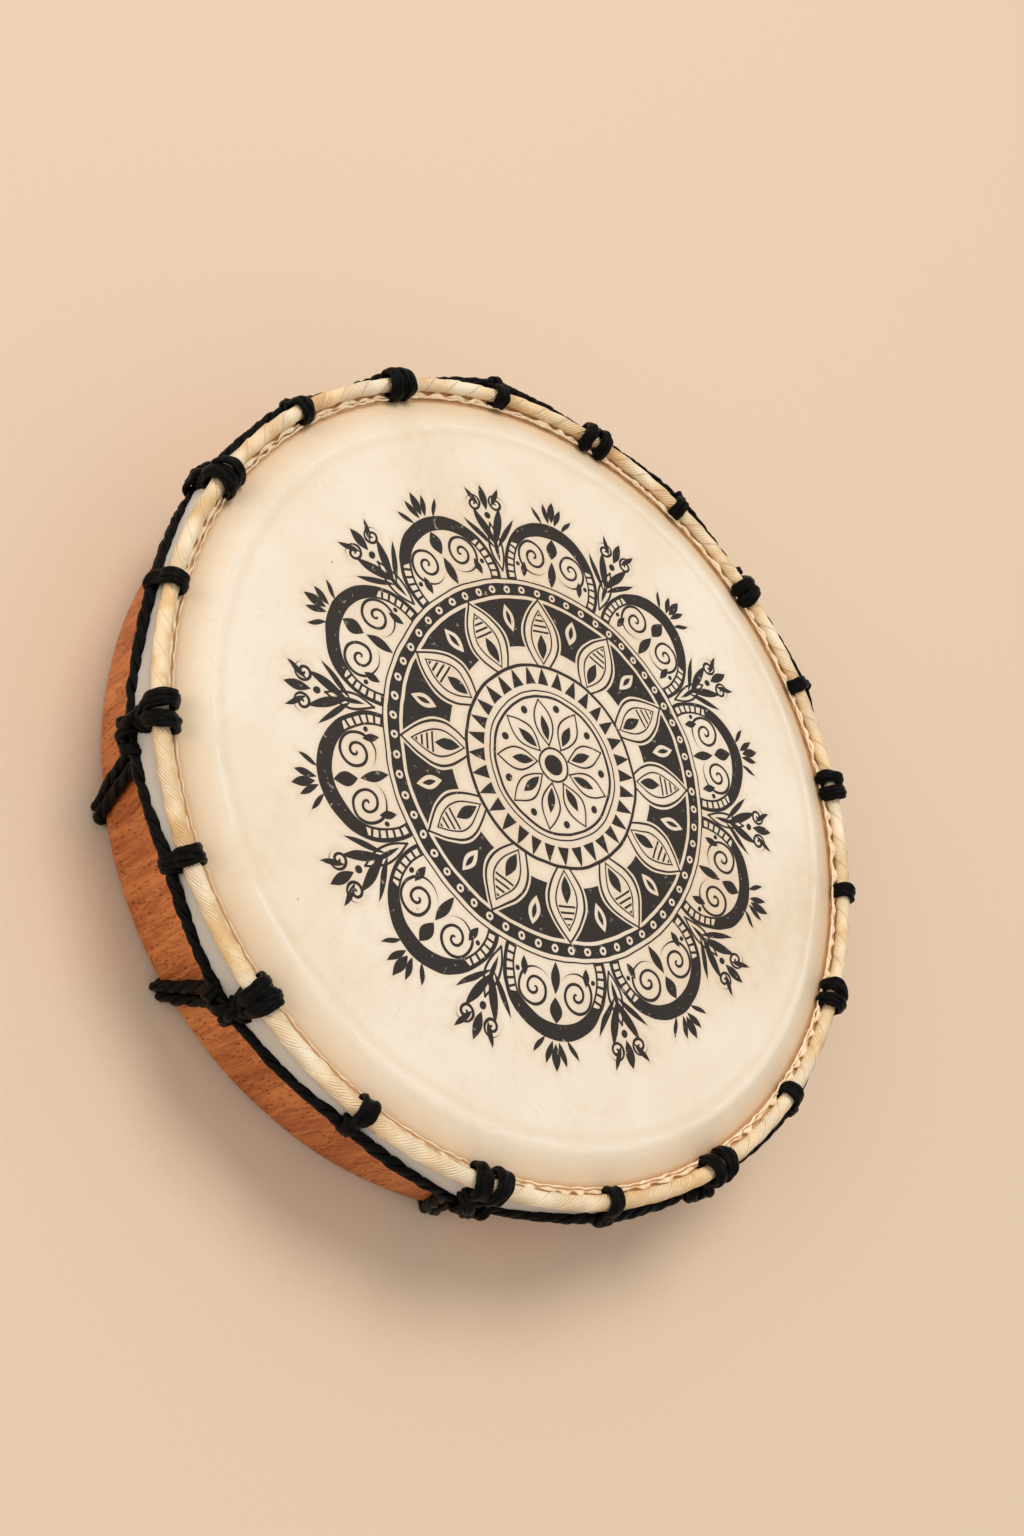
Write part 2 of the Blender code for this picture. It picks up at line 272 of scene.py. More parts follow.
def wood_dress(net):
    """Red-brown wood whose grain runs along the drum's axis, with short dark pores and hairlines."""
    where = object_point(net)
    sway = net.noise(where, 20.0, 2.0)
    leaning = net.vector("ADD", where, net.join(sway * 0.006, sway * -0.006, 0.0))
    along = net.vector("MULTIPLY", leaning, (1.0, 1.0, 0.09))
    figure = net.noise(along, 120.0, 3.0, 0.6, 0.6)
    streak = net.noise(along, 620.0, 3.0, 0.7, 0.4)
    fine = net.noise(along, 1500.0, 1.0)
    tone = figure * 0.5 + streak * 0.35 + sway * 0.15
    fleck = net.ramp(streak, 0.42, 0.32) * net.ramp(net.noise(where, 110.0), 0.4, 0.6)
    hair = net.ramp(abs(net.noise(along, 340.0, 2.0, 0.5, 1.2) - 0.5), 0.020, 0.004)
    hair = hair * net.ramp(net.noise(where, 60.0, 2.0), 0.44, 0.58)
    distance, own = net.cells(net.vector("MULTIPLY", leaning, (1.0, 1.0, 0.26)), 760.0)
    pore = net.ramp(distance, 0.36, 0.18) * net.ramp(own, 0.48, 0.56)
    pore = pore * net.ramp(net.noise(where, 70.0), 0.30, 0.44)
    ground = net.layered(
        WOOD_DARK,
        (net.ramp(tone, 0.38, 0.62), WOOD_MID),
        (net.ramp(sway * 0.6 + streak * 0.6, 0.60, 0.85) * 0.5, WOOD_LIGHT),
        (fleck * 0.6, WOOD_DARK),
        (hair * 0.45, WOOD_PORE),
        (pore * 0.6, WOOD_PORE),
    )
    height = streak * 0.6 + fine * 0.3 - pore * 1.2 - hair * 0.4
    return {
        "Base Color": ground,
        "Roughness": 0.42 + streak * 0.16 + pore * 0.2,
        "Normal": net.bump(height, 0.00022),
    }


HIDE = colour(240, 225, 203)
HIDE_TAN_AND_SHADE = colour(226, 197, 160)
HIDE_PALE_AND_HIGHLIGHT = colour(247, 237, 220)
HIDE_FLECK = colour(176, 120, 72)
VALLEY_SHADE_AMBER = colour(222, 178, 126)
GROOVE_SHADE_AMBER = colour(212, 156, 102)
TUCKED_SHADE_AMBER = colour(228, 186, 134)
HEM_WHITE_IN_SHADE = colour(204, 196, 186)
HEM_SPECK = colour(120, 92, 70)
INK = colour(28, 23, 22)
INK_HALO = colour(205, 170, 134)
TRIM_LOW_SHADE_BROWN = colour(204, 148, 88)
TRIM_TOP_LIGHT_PALE = colour(250, 230, 198)
TRIM_STAIN = colour(224, 182, 130)


def mottled_hide(net, where):
    """Bare rawhide: its colour and its height, with clouds, faint fibres and a few flecks."""
    cloud = net.noise(where, 11.0, 4.0, 0.6)
    grain = net.noise(where, 160.0, 3.0, 0.6)
    fibre = 1.0 - net.ramp(abs(net.noise(where, 26.0, 3.0, 0.6, 2.2) - 0.5), 0.0, 0.012)
    fibre = fibre * net.ramp(net.noise(where, 9.0), 0.42, 0.62)
    distance, own = net.cells(where, 70.0)
    ground = net.layered(
        HIDE,
        (net.ramp(cloud, 0.35, 0.7), HIDE_PALE_AND_HIGHLIGHT),
        (net.ramp(cloud * 0.7 + grain * 0.3, 0.5, 0.3) * 0.35, HIDE_TAN_AND_SHADE),
        (fibre * 0.22, HIDE_TAN_AND_SHADE),
        (net.ramp(distance, 0.055, 0.03) * net.ramp(own, 0.86, 0.9) * 0.7, HIDE_FLECK),
    )
    return ground, grain * 0.5 + net.noise(where, 900.0, 2.0) * 0.35 + fibre * 0.3


def skin_dress(net):
    """The head with its print, the warmer slope and the smooth hem. Painted shade falls on the slope, inside
    the crease, by the trimmed edge and on the hem, and a painted highlight runs along the crease.
    """
    where = object_point(net)
    x, y, z = net.split(where)
    radius = away(x, y)
    bare, height = mottled_hide(net, where)
    slope = net.ramp(radius + net.noise(where, 24.0, 3.0, 0.6) * 0.010, 0.183, 0.202)
    wander = radius + (net.noise(where, 30.0, 2.0) - 0.5) * 0.0030
    # painted shade: a faint darker ring just inside the crease
    painted_shade_ring = net.ramp(abs(wander - SHADED_LINE), 0.0040, 0.0)
    # a pale broken line along the crease: partly wear, partly painted highlight
    wear_and_highlight = net.ramp(abs(wander - CREASE_WEAR_AND_HIGHLIGHT), 0.0016, 0.0)
    wear_and_highlight = wear_and_highlight * net.ramp(net.noise(where, 42.0, 2.0), 0.40, 0.56)
    hem = net.ramp(radius, HEM_FINISH, HEM_FINISH + 0.0008)
    distance, own = net.cells(where, 90.0)
    speck = net.ramp(distance, 0.06, 0.03) * net.ramp(own, 0.88, 0.9) * hem
    outside = net.ramp(z, HEAD_TOP - SKIN_THICKNESS * 0.6, HEAD_TOP - SKIN_THICKNESS * 0.4)
    ink, halo = (share * outside for share in printed(net, x, y))
    fresh = net.ramp(net.noise(where, 260.0, 2.0, 0.7), 0.24, 0.36, 0.6, 1.0)
    ground = net.layered(
        bare,
        # warmer tan on the slope: partly the hide's own tone, partly painted shade
        (slope * 0.75, HIDE_TAN_AND_SHADE),
        (painted_shade_ring * 0.22, HIDE_TAN_AND_SHADE),
        (wear_and_highlight * 0.75, HIDE_PALE_AND_HIGHLIGHT),
        # painted shade: amber in the valley beside the trimmed edge
        (net.ramp(radius, 0.1950, 0.1982) * 0.7, VALLEY_SHADE_AMBER),
        # painted shade: an amber line in the groove at the trimmed edge's foot
        (net.ramp(abs(radius - GROOVE), 0.0008, 0.0) * 0.5, GROOVE_SHADE_AMBER),
        # painted shade: amber where the skin tucks under the hoop
        (net.ramp(radius, 0.1985, 0.2012), TUCKED_SHADE_AMBER),
        # the hem's pale colour, darkened greyish as painted shade
        (hem, HEM_WHITE_IN_SHADE),
        (speck * 0.8, HEM_SPECK),
        (halo * 0.22, INK_HALO),
        (ink * fresh * 0.98, INK),
    )
    return {
        "Base Color": ground,
        "Roughness": 0.54 + height * 0.12 - hem * 0.16 - ink * 0.02,
        "Normal": net.bump(height, 0.00012),
    }


def trim_dress(net):
    """The skin's trimmed edge: thin and dry, with amber stains. Painted light makes it pale on top, and
    painted shade makes it brown at its low edges and low in the groove.
    """
    where = object_point(net)
    z = net.split(where)[2]
    shade = net.noise(where, 120.0, 3.0, 0.6)
    stain = net.noise(where, 300.0, 2.0, 0.6)
    ground = net.layered(
        TRIM_LOW_SHADE_BROWN,
        # painted light and shade: pale towards the top of each lip, brown low down
        (net.ramp(z + shade * 0.0010, TRIM_HEIGHT - 0.0002, TRIM_HEIGHT + 0.0014), TRIM_TOP_LIGHT_PALE),
        (net.ramp(stain, 0.52, 0.34) * 0.55, TRIM_STAIN),
    )
    return {
        "Base Color": ground,
        "Roughness": 0.42 + shade * 0.2,
        "Normal": net.bump(stain, 0.00040),
    }


# The print on the head: a plain roundel of petals, triangles, coils and drops, in units of its own
PRINT_SCALE = 860.0  # units of the design in a metre
LINE = 1.0  # width of a common line
EDGE_SOFTNESS = 0.22
HALO_REACH = 3.2  # how far the stain goes beyond the ink
WAVER = 2.6  # how far the hand-drawn lines stray


def folded(angle, count):
    """The angle from the nearest of so many axes, always positive."""
    return off_half(angle * (count / TURN) + 0.5) * (TURN / count)


def circle(radius, at, width=LINE):
    """How far a point lies outside a circular line."""
    return abs(radius - at) - width / 2


def leaf(along, across, start, end, width):
    """How far a point lies outside a pointed leaf along an axis."""
    share = (along - start) / (end - start)
    inside = sine(most(least(share, 1.0), 0.0) * math.pi)
    return most(abs(across) - inside * (width / 2), start - along, along - end)


def outline(distance, width):
    """How far a point lies outside a line drawn round a shape."""
    return abs(distance) - width / 2


def spot(x, y, at_x, at_y, size):
    """How far a point lies outside a round spot."""
    return away(x - at_x, y - at_y) - size


def coil(x, y, at_x, at_y, size, pitch, width):
    """How far a point lies outside a coiled line inside a circle."""
    dx, dy = x - at_x, y - at_y
    reach = away(dx, dy)
    line = off_half(reach / pitch - angle_of(dy, dx) / TURN) * pitch
    return most(line - width / 2, reach - size)


def band(radius, start, end):
    """How far a point lies outside the ring between two radii."""
    return most(start - radius, radius - end)


def printed(net, x, y):
    """Where the print is: one on its lines and black areas, nought off them, and the stain about it."""
    waver = net.join(x, y, 0.0)
    across = net.noise(waver, 38.0, 2.0) - 0.5
    down = net.noise(net.vector("ADD", waver, (3.0, 5.0, 0.0)), 38.0, 2.0) - 0.5
    x = x * PRINT_SCALE + across * WAVER
    y = y * PRINT_SCALE + down * WAVER
    radius = away(x, y)
    angle = angle_of(y, x)
    shapes = [
        radius - 4.6,
        circle(radius, 7.4),
        circle(radius, 30.5, 1.3),
        circle(radius, 33.0, 0.7),
        circle(radius, 44.5, 1.5),
    ]
    for motif in (flower, triangles, petals, beaded_ring, scrolls, sprigs):
        shapes += motif(radius, angle)
    nearest = least(*shapes)
    return net.ramp(nearest, EDGE_SOFTNESS / 2, -EDGE_SOFTNESS / 2), net.ramp(nearest, HALO_REACH, 0.0)


def on_axes(radius, angle, count, turn=0.0):
    """Distances along and beside the nearest of so many axes."""
    bearing = folded(angle + turn, count)
    return radius * cosine(bearing), radius * sine(bearing)


def leaning(along, across, start, lean):
    """The distance beside an axis that leans aside from a place on it."""
    return across - (along - start) * lean


def flower(radius, angle):
    """The small flower in the middle: nine leaves with dark hearts and dots between them."""
    along, across = on_axes(radius, angle, 9)
    petal = leaf(along, across, 8.5, 29.0, 9.6)
    heart = leaf(along, across, 10.5, 22.0, 4.2)
    along_gap, across_gap = on_axes(radius, angle, 9, TURN / 18)
    return [outline(petal, 0.9), heart, spot(along_gap, across_gap, 26.0, 0.0, 1.7)]


def triangles(radius, angle):
    """A ring of black triangles on the outer circle and dots inside them."""
    share = folded(angle, 32) * (32 / TURN) * 2.0
    tooth = most((radius - 34.0) / 10.0 - share, band(radius, 36.0, 44.0) * 0.2) * 4.0
    along, across = on_axes(radius, angle, 32, TURN / 64)
    return [tooth, spot(along, across, 37.0, 0.0, 1.0)]


def petals(radius, angle):
    """Twelve broad leaves with double outlines, ribs and a black drop, and black wedges between them."""
    along, across = on_axes(radius, angle, 12)
    whole = leaf(along, across, 41.0, 76.0, 19.0)
    inner = leaf(along, across, 46.0, 71.0, 11.5)
    ribs = most(off_half(along / 2.6) * 2.6 - 0.5, inner + 0.8, 59.0 - along)
    heart = leaf(along, across, 48.0, 60.0, 5.0)
    gap_along, gap_across = on_axes(radius, angle, 12, TURN / 24)
    wedge = most(-(whole - 1.6), radius - 75.0, 53.0 - radius)
    eye = leaf(gap_along, gap_across, 60.0, 72.5, 5.6)
    pupil = leaf(gap_along, gap_across, 63.0, 70.0, 2.2)
    dark = most(wedge, -eye)
    return [most(outline(whole, 1.2), 45.0 - radius), outline(inner, 0.8), ribs, heart, dark, pupil]


def beaded_ring(radius, angle):
    """A black ring with pale beads between two fine lines."""
    beads = on_axes(radius, angle, 60)
    ring = most(band(radius, 76.5, 82.0), -spot(*beads, 79.25, 0.0, 1.7))
    return [ring, spot(*beads, 79.25, 0.0, 0.7), circle(radius, 84.0, 0.7)]


def scrolls(radius, angle):
    """Pairs of coils under laddered arches, with black crescents and drops."""
    along, across = on_axes(radius, angle, 10)
    outside_ring = 84.0 - radius
    pair = coil(along, across, 97.0, 10.3, 9.0, 4.5, 1.3)
    arch = spot(along, across, 90.0, 0.0, 0.0)
    about = angle_of(across, along - 90.0)
    rungs = off_half(about * (44 / TURN)) * (arch * (TURN / 44)) - 0.55
    ladder = most(rungs, band(arch, 21.4, 24.6))
    outer_line = band(arch, 24.4, 26.2)
    inner_line = band(arch, 20.6, 21.6)
    crescent = most(arch - 24.6, 22.4 - spot(along, across, 87.0, 0.0, 0.0), 100.0 - along)
    drop = leaf(along, across, 99.0, 109.5, 6.0)
    stem = leaf(along, across, 84.5, 98.0, 4.4)
    foot = leaf(along, across - 15.5, 85.0, 93.0, 3.4)
    corner = spot(along, across, 90.5, 19.0, 1.1)
    kept = [most(outside_ring, part) for part in (ladder, outer_line, inner_line, crescent)]
    return [pair, drop, stem, foot, corner, *kept]


def sprigs(radius, angle):
    """Curled sprigs and strokes in the gaps of the arches, and a fringe of drops outside."""
    along, across = on_axes(radius, angle, 10, TURN / 20)
    middle = leaf(along, across, 88.0, 110.0, 6.6)
    vein = leaf(along, across, 92.0, 106.0, 2.2)
    side = leaf(along, leaning(along, across, 100.0, 0.42), 100.0, 118.0, 4.6)
    wing = leaf(along, leaning(along, across, 98.0, 0.95), 98.5, 112.5, 3.8)
    curl = coil(along, across, 119.5, 6.4, 4.2, 2.8, 1.3)
    tip = spot(along, across, 113.6, 0.0, 1.6)
    drop = leaf(along, across, 116.0, 128.0, 4.4)
    far = leaf(along, leaning(along, across, 112.0, 0.62), 118.0, 127.0, 3.0)
    along, across = on_axes(radius, angle, 10)
    fringe = leaf(along, across, 117.5, 128.5, 4.2)
    stroke = leaf(along, leaning(along, across, 112.0, 0.36), 116.5, 126.0, 3.2)
    stroke = most(stroke, 1.2 - across)
    hook = leaf(along, leaning(along, across, 108.0, 0.78), 115.0, 122.5, 2.8)
    hook = most(hook, 4.0 - across)
    return [outline(middle, 1.1), vein, side, wing, curl, tip, drop, far, fringe, stroke, hook]


STRIP_TURNS = 44  # how often the two pale strips go round the hoop's tube
STRIP_RIBS = 14  # ribs side by side on the two strips
STRIP = colour(251, 221, 171)
STRIP_TAN_AND_SHADE = colour(222, 172, 110)
STRIP_PALE = colour(253, 239, 212)
STRIP_SEAM = colour(186, 130, 74)


def winding(net, where):
    """How many turns the strip has made round the hoop's tube at a point."""
    x, y, z = net.split(where)
    beside = away(x, y) - HOOP_RADIUS
    return angle_of(y, x) * (STRIP_TURNS / TURN) - angle_of(z - HOOP_HEIGHT, beside) / TURN


def laps(net, where):
    """The strips' turns at a point, how they wander, and the share of the way across a strip."""
    turns = winding(net, where)
    wander = net.noise(where, 120.0, 2.0)
    return turns, wander, (turns * 2.0 + (wander - 0.5) * 0.12) % 1.0


def strip_dress(net):
    """The pale strips: fine ribs along them, soft creases and a darker line at each lap, with painted shade
    on the tube's underside and in the rib grooves.
    """
    where = object_point(net)
    turns, wander, lap = laps(net, where)
    rib = cosine((turns * STRIP_RIBS + wander * 1.5) * TURN) * 0.5 + 0.5
    shown = net.ramp(net.noise(where, 40.0, 2.0), 0.36, 0.56)
    hair = net.noise(net.join(turns * 30.0, wander * 2.0, 0.0), 5.0, 3.0, 0.6)
    blotch = net.noise(where, 34.0, 3.0, 0.6)
    # painted shade: darker towards the underside of the hoop's tube
    under = net.ramp(net.split(where)[2], HOOP_HEIGHT + 0.0012, HOOP_HEIGHT - 0.0030)
    ground = net.layered(
        STRIP,
        (net.ramp(blotch, 0.36, 0.66), STRIP_PALE),
        (net.ramp(blotch * 0.6 + hair * 0.4, 0.50, 0.36) * 0.8, STRIP_TAN_AND_SHADE),
        (under * 0.35, STRIP_TAN_AND_SHADE),
        (net.ramp(lap, 0.06, 0.0) * 0.65, STRIP_SEAM),
        (net.ramp(lap, 0.75, 1.0) * 0.35, STRIP_PALE),
        # painted shade in the grooves between the ribs
        (rib * shown * 0.36, STRIP_TAN_AND_SHADE),
    )
    return {
        "Base Color": ground,
        "Roughness": 0.46 + blotch * 0.16,
        "Normal": net.bump((1.0 - rib) * shown * 0.8 + hair * 0.35, 0.00040),
    }


CORD_BLACK = colour(4, 4, 3)
CORD_GREY_AND_SHEEN = colour(17, 14, 12)


def threads_on(net, stretch, scale):
    """Threads that run along a strand, from its stored place: round it, and the length along it."""
    on_strand = net.add("ShaderNodeAttribute", {"attribute_name": "strand"}).outputs["Vector"]
    return on_strand, net.noise(net.vector("MULTIPLY", on_strand, stretch), scale, 3.0, 0.6)


def cord_dress(net):
    """Black satin cord: filaments along each strand, partly painted grey as sheen, brighter where they catch
    the light.
    """
    on_strand, threads = threads_on(net, (3.6, 3.6, 60.0), 1.7)
    coarse = net.noise(net.vector("MULTIPLY", on_strand, (1.0, 1.0, 160.0)), 1.0, 2.0)
    return {
        # greyer threads: partly the fibres' own tone, partly painted sheen
        "Base Color": net.layered(CORD_BLACK, (net.ramp(threads, 0.46, 0.70) * 0.8, CORD_GREY_AND_SHEEN)),
        "Roughness": 0.28 + coarse * 0.22,
        "Normal": net.bump(threads, 0.00026),
    }


def binding_dress(net):
    """The grip's winding: dull black cord."""
    threads = threads_on(net, (3.0, 3.0, 90.0), 1.5)[1]
    return {
        # greyer threads: partly the fibres' own tone, partly painted sheen
        "Base Color": net.layered(CORD_BLACK, (net.ramp(threads, 0.45, 0.8) * 0.6, CORD_GREY_AND_SHEEN)),
        "Roughness": 0.5 + threads * 0.25,
        "Normal": net.bump(threads, 0.00025),
    }


FLOOR = colour(234, 210, 184)
FLOOR_CLOUD = colour(233, 211, 187)
FLOOR_GRAIN = colour(216, 190, 163)


def floor_dress(net):
    """The pale ground under the drum, faintly clouded and grained."""
    where = object_point(net)
    soft = net.noise(where, 3.0, 3.0)
    grain = net.ramp(net.noise(where, 500.0, 3.0, 0.6), 0.45, 0.7) * 0.15
    return {
        "Base Color": net.layered(FLOOR, (soft, FLOOR_CLOUD), (grain, FLOOR_GRAIN)),
        "Roughness": 0.85 + soft * 0.1,
    }


# Turned bodies


def arc(centre, radius, start, end, steps):
    """Points of an arc in a profile, angles in degrees from the outward direction."""
    angles = [math.radians(start + (end - start) * i / steps) for i in range(steps + 1)]
    return [(centre[0] + radius * math.cos(a), centre[1] + radius * math.sin(a)) for a in angles]


def mesh_of(name, points, faces, finish):
    mesh = bpy.data.meshes.new(name)
    mesh.from_pydata([tuple(p) for p in points], [], [tuple(f) for f in faces])
    mesh.materials.append(finish)
    mesh.shade_smooth()
    return mesh


def turned(name, profile, steps, finish, uneven=None):
    """A closed body turned from a profile. A profile that starts on the axis also ends there."""
    has_poles = profile[0][0] == 0.0
    line = np.array(profile[1:-1] if has_poles else profile)
    turn = np.arange(steps) * TURN / steps
    radius = np.repeat(line[:, 0][:, None], steps, 1)
    height = np.repeat(line[:, 1][:, None], steps, 1)
    if uneven:
        radius, height = uneven(radius, height, turn[None, :])
    points = np.stack([radius * np.cos(turn), radius * np.sin(turn), height], -1).reshape(-1, 3)
    rows = len(line)
    faces = []
    for row in range(rows - 1 if has_poles else rows):
        one, two = row * steps, (row + 1) % rows * steps
        faces += [(one + i, two + i, two + (i + 1) % steps, one + (i + 1) % steps) for i in range(steps)]
    if has_poles:
        points = np.vstack([points, (0.0, 0.0, profile[0][1]), (0.0, 0.0, profile[-1][1])])
        top, bottom, last = len(points) - 2, len(points) - 1, (rows - 1) * steps
        faces += [(top, i, (i + 1) % steps) for i in range(steps)]
        faces += [(bottom, last + (i + 1) % steps, last + i) for i in range(steps)]
    return mesh_of(name, points, faces, finish)


def linked(name, data):
    """A new object in the scene."""
    made = bpy.data.objects.new(name, data)
    bpy.context.scene.collection.objects.link(made)
    return made


def place(name, mesh, slot, *nodes):
    """A finished piece, which stands for the solids named."""
    piece = linked(name, mesh)
    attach(piece, "root")
    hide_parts(*nodes)


def bearing_edge(out):
    """The shell's front edge, grown outwards by a distance: the crease, then the shoulder."""
    crest_radius = SHELL_RADIUS - SHELL_WALL + EDGE_ROUND
    slope = math.radians(BEARING_SLOPE)
    crease_centre = (crest_radius, CREST - CREASE_ROUND)
    crease = arc(crease_centre, CREASE_ROUND + out, 90, 90 - BEARING_SLOPE, 8)
    bare_end = arc(crease_centre, CREASE_ROUND, 90 - BEARING_SLOPE, 90 - BEARING_SLOPE, 1)[0]
    centre_radius = SHELL_RADIUS - SHOULDER_ROUND
    start_radius = centre_radius + SHOULDER_ROUND * math.sin(slope)
    start_height = bare_end[1] - (start_radius - bare_end[0]) * math.tan(slope)
    centre = (centre_radius, start_height - SHOULDER_ROUND * math.cos(slope))
    return crease, arc(centre, SHOULDER_ROUND + out, 90 - BEARING_SLOPE, 0, 5)


def dress_shell(finish):
    """The wooden shell with softly rounded edges."""
    crease, shoulder = bearing_edge(0.0)
    inside = SHELL_RADIUS - SHELL_WALL
    outer_foot = arc((SHELL_RADIUS - EDGE_ROUND, BACK_EDGE + EDGE_ROUND), EDGE_ROUND, 0, -90, 4)
    inner_foot = arc((inside + EDGE_ROUND, BACK_EDGE + EDGE_ROUND), EDGE_ROUND, 270, 180, 4)
    high, low = shoulder[-1][1], outer_foot[0][1]
    side = [(SHELL_RADIUS, high + (low - high) * i / 6) for i in range(1, 6)]
    profile = crease + shoulder + side + outer_foot + inner_foot
    profile += [(inside, 0.03), (inside, CREST - EDGE_ROUND)]

    def uneven(radius, height, turn):
        """The maker's shaping left the outside a little uneven."""
        ripple = 0.00018 * np.sin(7 * turn + 0.6) + 0.00010 * np.sin(23 * turn + 90 * height)
        return radius + ripple * (radius > inside + EDGE_ROUND), height

    mesh = turned("turned_shell", profile, 480, finish, uneven)
    place("turned_shell", mesh, "wood", "shell")


def dress_skin(finish):
    """The head, its crease and slope, and the hem that the running cord pulls into shallow scallops."""
    crease = bearing_edge(GAP + SKIN_THICKNESS)[0]
    slope = math.tan(math.radians(BEARING_SLOPE))
    end_radius, end_height = crease[-1]
    foot = end_height - (TRIM_FOOT - end_radius) * slope
    radii = np.linspace(end_radius + 0.002, TRIM_FOOT, 8)
    down = [(r, end_height - (r - end_radius) * slope) for r in radii]
    crown = HOOP_HEIGHT - HOOP_TUBE / 2 + 0.0003
    flap = [(TRIM_FOOT + 0.0010, foot - 0.0003), (TRIM_FOOT + 0.0030, foot - 0.0002)]
    fold = [(0.2026, crown + 0.0001), (0.2042, crown)]
    fold += [(HEM_RADIUS - 0.0006, crown - 0.0004), (HEM_RADIUS + 0.0004, crown - 0.0016)]
    low, high = HEM_BOTTOM + 0.0040, crown - 0.0032
    shares = np.linspace(0, 1, 7)
    side = [(HEM_RADIUS + 0.0010 + HEM_FLARE * s**0.7, high + (low - high) * s) for s in shares]
    hem_foot = [(HEM_RADIUS + 0.0016, HEM_BOTTOM + 0.0018), (HEM_RADIUS, HEM_BOTTOM + 0.0005)]
    hem_foot += [(HEM_RADIUS - 0.0028, HEM_BOTTOM), (SHELL_RADIUS + GAP, HEM_BOTTOM + 0.0002)]
    flat = [(r, HEAD_TOP) for r in (0.0, 0.02, 0.05, 0.08, 0.11, 0.135, 0.155, 0.168, 0.176)]
    under_crease, under_shoulder = bearing_edge(GAP)
    under = [*reversed(under_crease + under_shoulder), (0.0, CREST + GAP)]
    cord_points = running_route()[0]
    cord_turns = [math.atan2(p.y, p.x) for p in cord_points]
    cord_heights = [p.z for p in cord_points]

    def uneven(radius, height, turn):
        """The crease wanders, the slope is faintly rippled and the hem follows the running cord."""
        at_crease = np.exp(-(((radius - CREASE_MIDDLE) / 0.006) ** 2)) * (height > CREST - 0.004)
        sink = 0.00022 * np.sin(5 * turn + 1.0) + 0.00016 * np.sin(13 * turn + 2.0)
        on_slope = np.clip((radius - SLOPE_START) / 0.008, 0, 1) * (radius < 0.2005)
        ripple = 0.00013 * np.sin(41 * turn + 3 * np.sin(6 * turn)) * on_slope
        on_hem = (radius > HEM_START) * 1.0
        swell = 0.00045 * np.sin(20 * turn + 2 * np.sin(3 * turn)) + 0.00025 * np.sin(9 * turn)
        top = height > HEAD_TOP - 0.012
        lift = (sink * at_crease + ripple) * top * (height > CREST + GAP)
        edge = np.interp(turn, cord_turns, cord_heights, period=TURN) - 0.0012
        edge = np.minimum(edge, crown - 0.0042)
        in_hem = (radius > FOLD_START) | (height < HEM_BOTTOM + 0.001)
        drawn = crown - (crown - height) * (crown - edge) / (crown - HEM_BOTTOM)
        return radius + swell * on_hem, np.where(in_hem, drawn, height + lift)

    profile = flat + crease + down + flap + fold + side + hem_foot + under
    mesh = turned("rawhide_head", profile, 720, finish, uneven)
    place("rawhide_head", mesh, "rawhide", "skin")


# Trees that sweep strands and strips along a path


def geometry_tree(name, numbers, counts):
    """A tree that takes a path, named sizes and a finish: its nodes, its inputs and the path as a curve."""
    kinds = {**dict.fromkeys(numbers, "Float"), **dict.fromkeys(counts, "Int"), "Material": "Material"}
    tree = bpy.data.node_groups.new(name, "GeometryNodeTree")
    for way in ("INPUT", "OUTPUT"):
        tree.interface.new_socket("Geometry", in_out=way, socket_type="NodeSocketGeometry")
    for size, kind in kinds.items():
        tree.interface.new_socket(size, in_out="INPUT", socket_type="NodeSocket" + kind)
    net = Net(tree)
    inlet = net.add("NodeGroupInput")
    line = net.result("GeometryNodeMeshToCurve", inputs={0: inlet.outputs["Geometry"]})
    return net, {size: Field(inlet.outputs[size]) for size in kinds}, line


def close_tree(net, shape, finish):
    """Realizes the shape, shades it smooth, gives it its material and sends it out."""
    shape = net.result("GeometryNodeSetShadeSmooth", inputs={"Geometry": shape})
    shape = net.result("GeometryNodeRealizeInstances", inputs={"Geometry": shape})
    shape = net.result("GeometryNodeSetMaterial", inputs={"Geometry": shape, "Material": finish})
    net.add("NodeGroupOutput", inputs={0: shape})
    return net.tree


def captured(net, shape, field, kind="FLOAT"):
    """A shape that carries a field along, and that field."""
    node = net.add("GeometryNodeCaptureAttribute")
    node.capture_items.new(kind, "kept")
    feed(node.inputs[0], shape)
    feed(node.inputs[1], field)
    return node.outputs[0], Field(node.outputs[1])


def moved(net, shape, **where):
    """A shape with its points moved to a Position or by an Offset."""
    return net.result("GeometryNodeSetPosition", inputs={"Geometry": shape, **where})


def swollen(net, shape, height):
    """A shape whose surface is moved outwards by a height that varies over it."""
    normal = net.result("GeometryNodeInputNormal")
    return moved(net, shape, Offset=net.scaled(normal, height))


STRAND_NUMBERS = ("Spacing", "Pinch", "Twist Radius", "Pitch", "Width", "Thickness", "Filaments")
STRAND_NUMBERS += ("Filament Depth", "Crumple", "Crown", "Step", "Wander", "Seed")
STRAND_OFFSET = 0.37  # how far along its pattern each strand starts after the one beside it


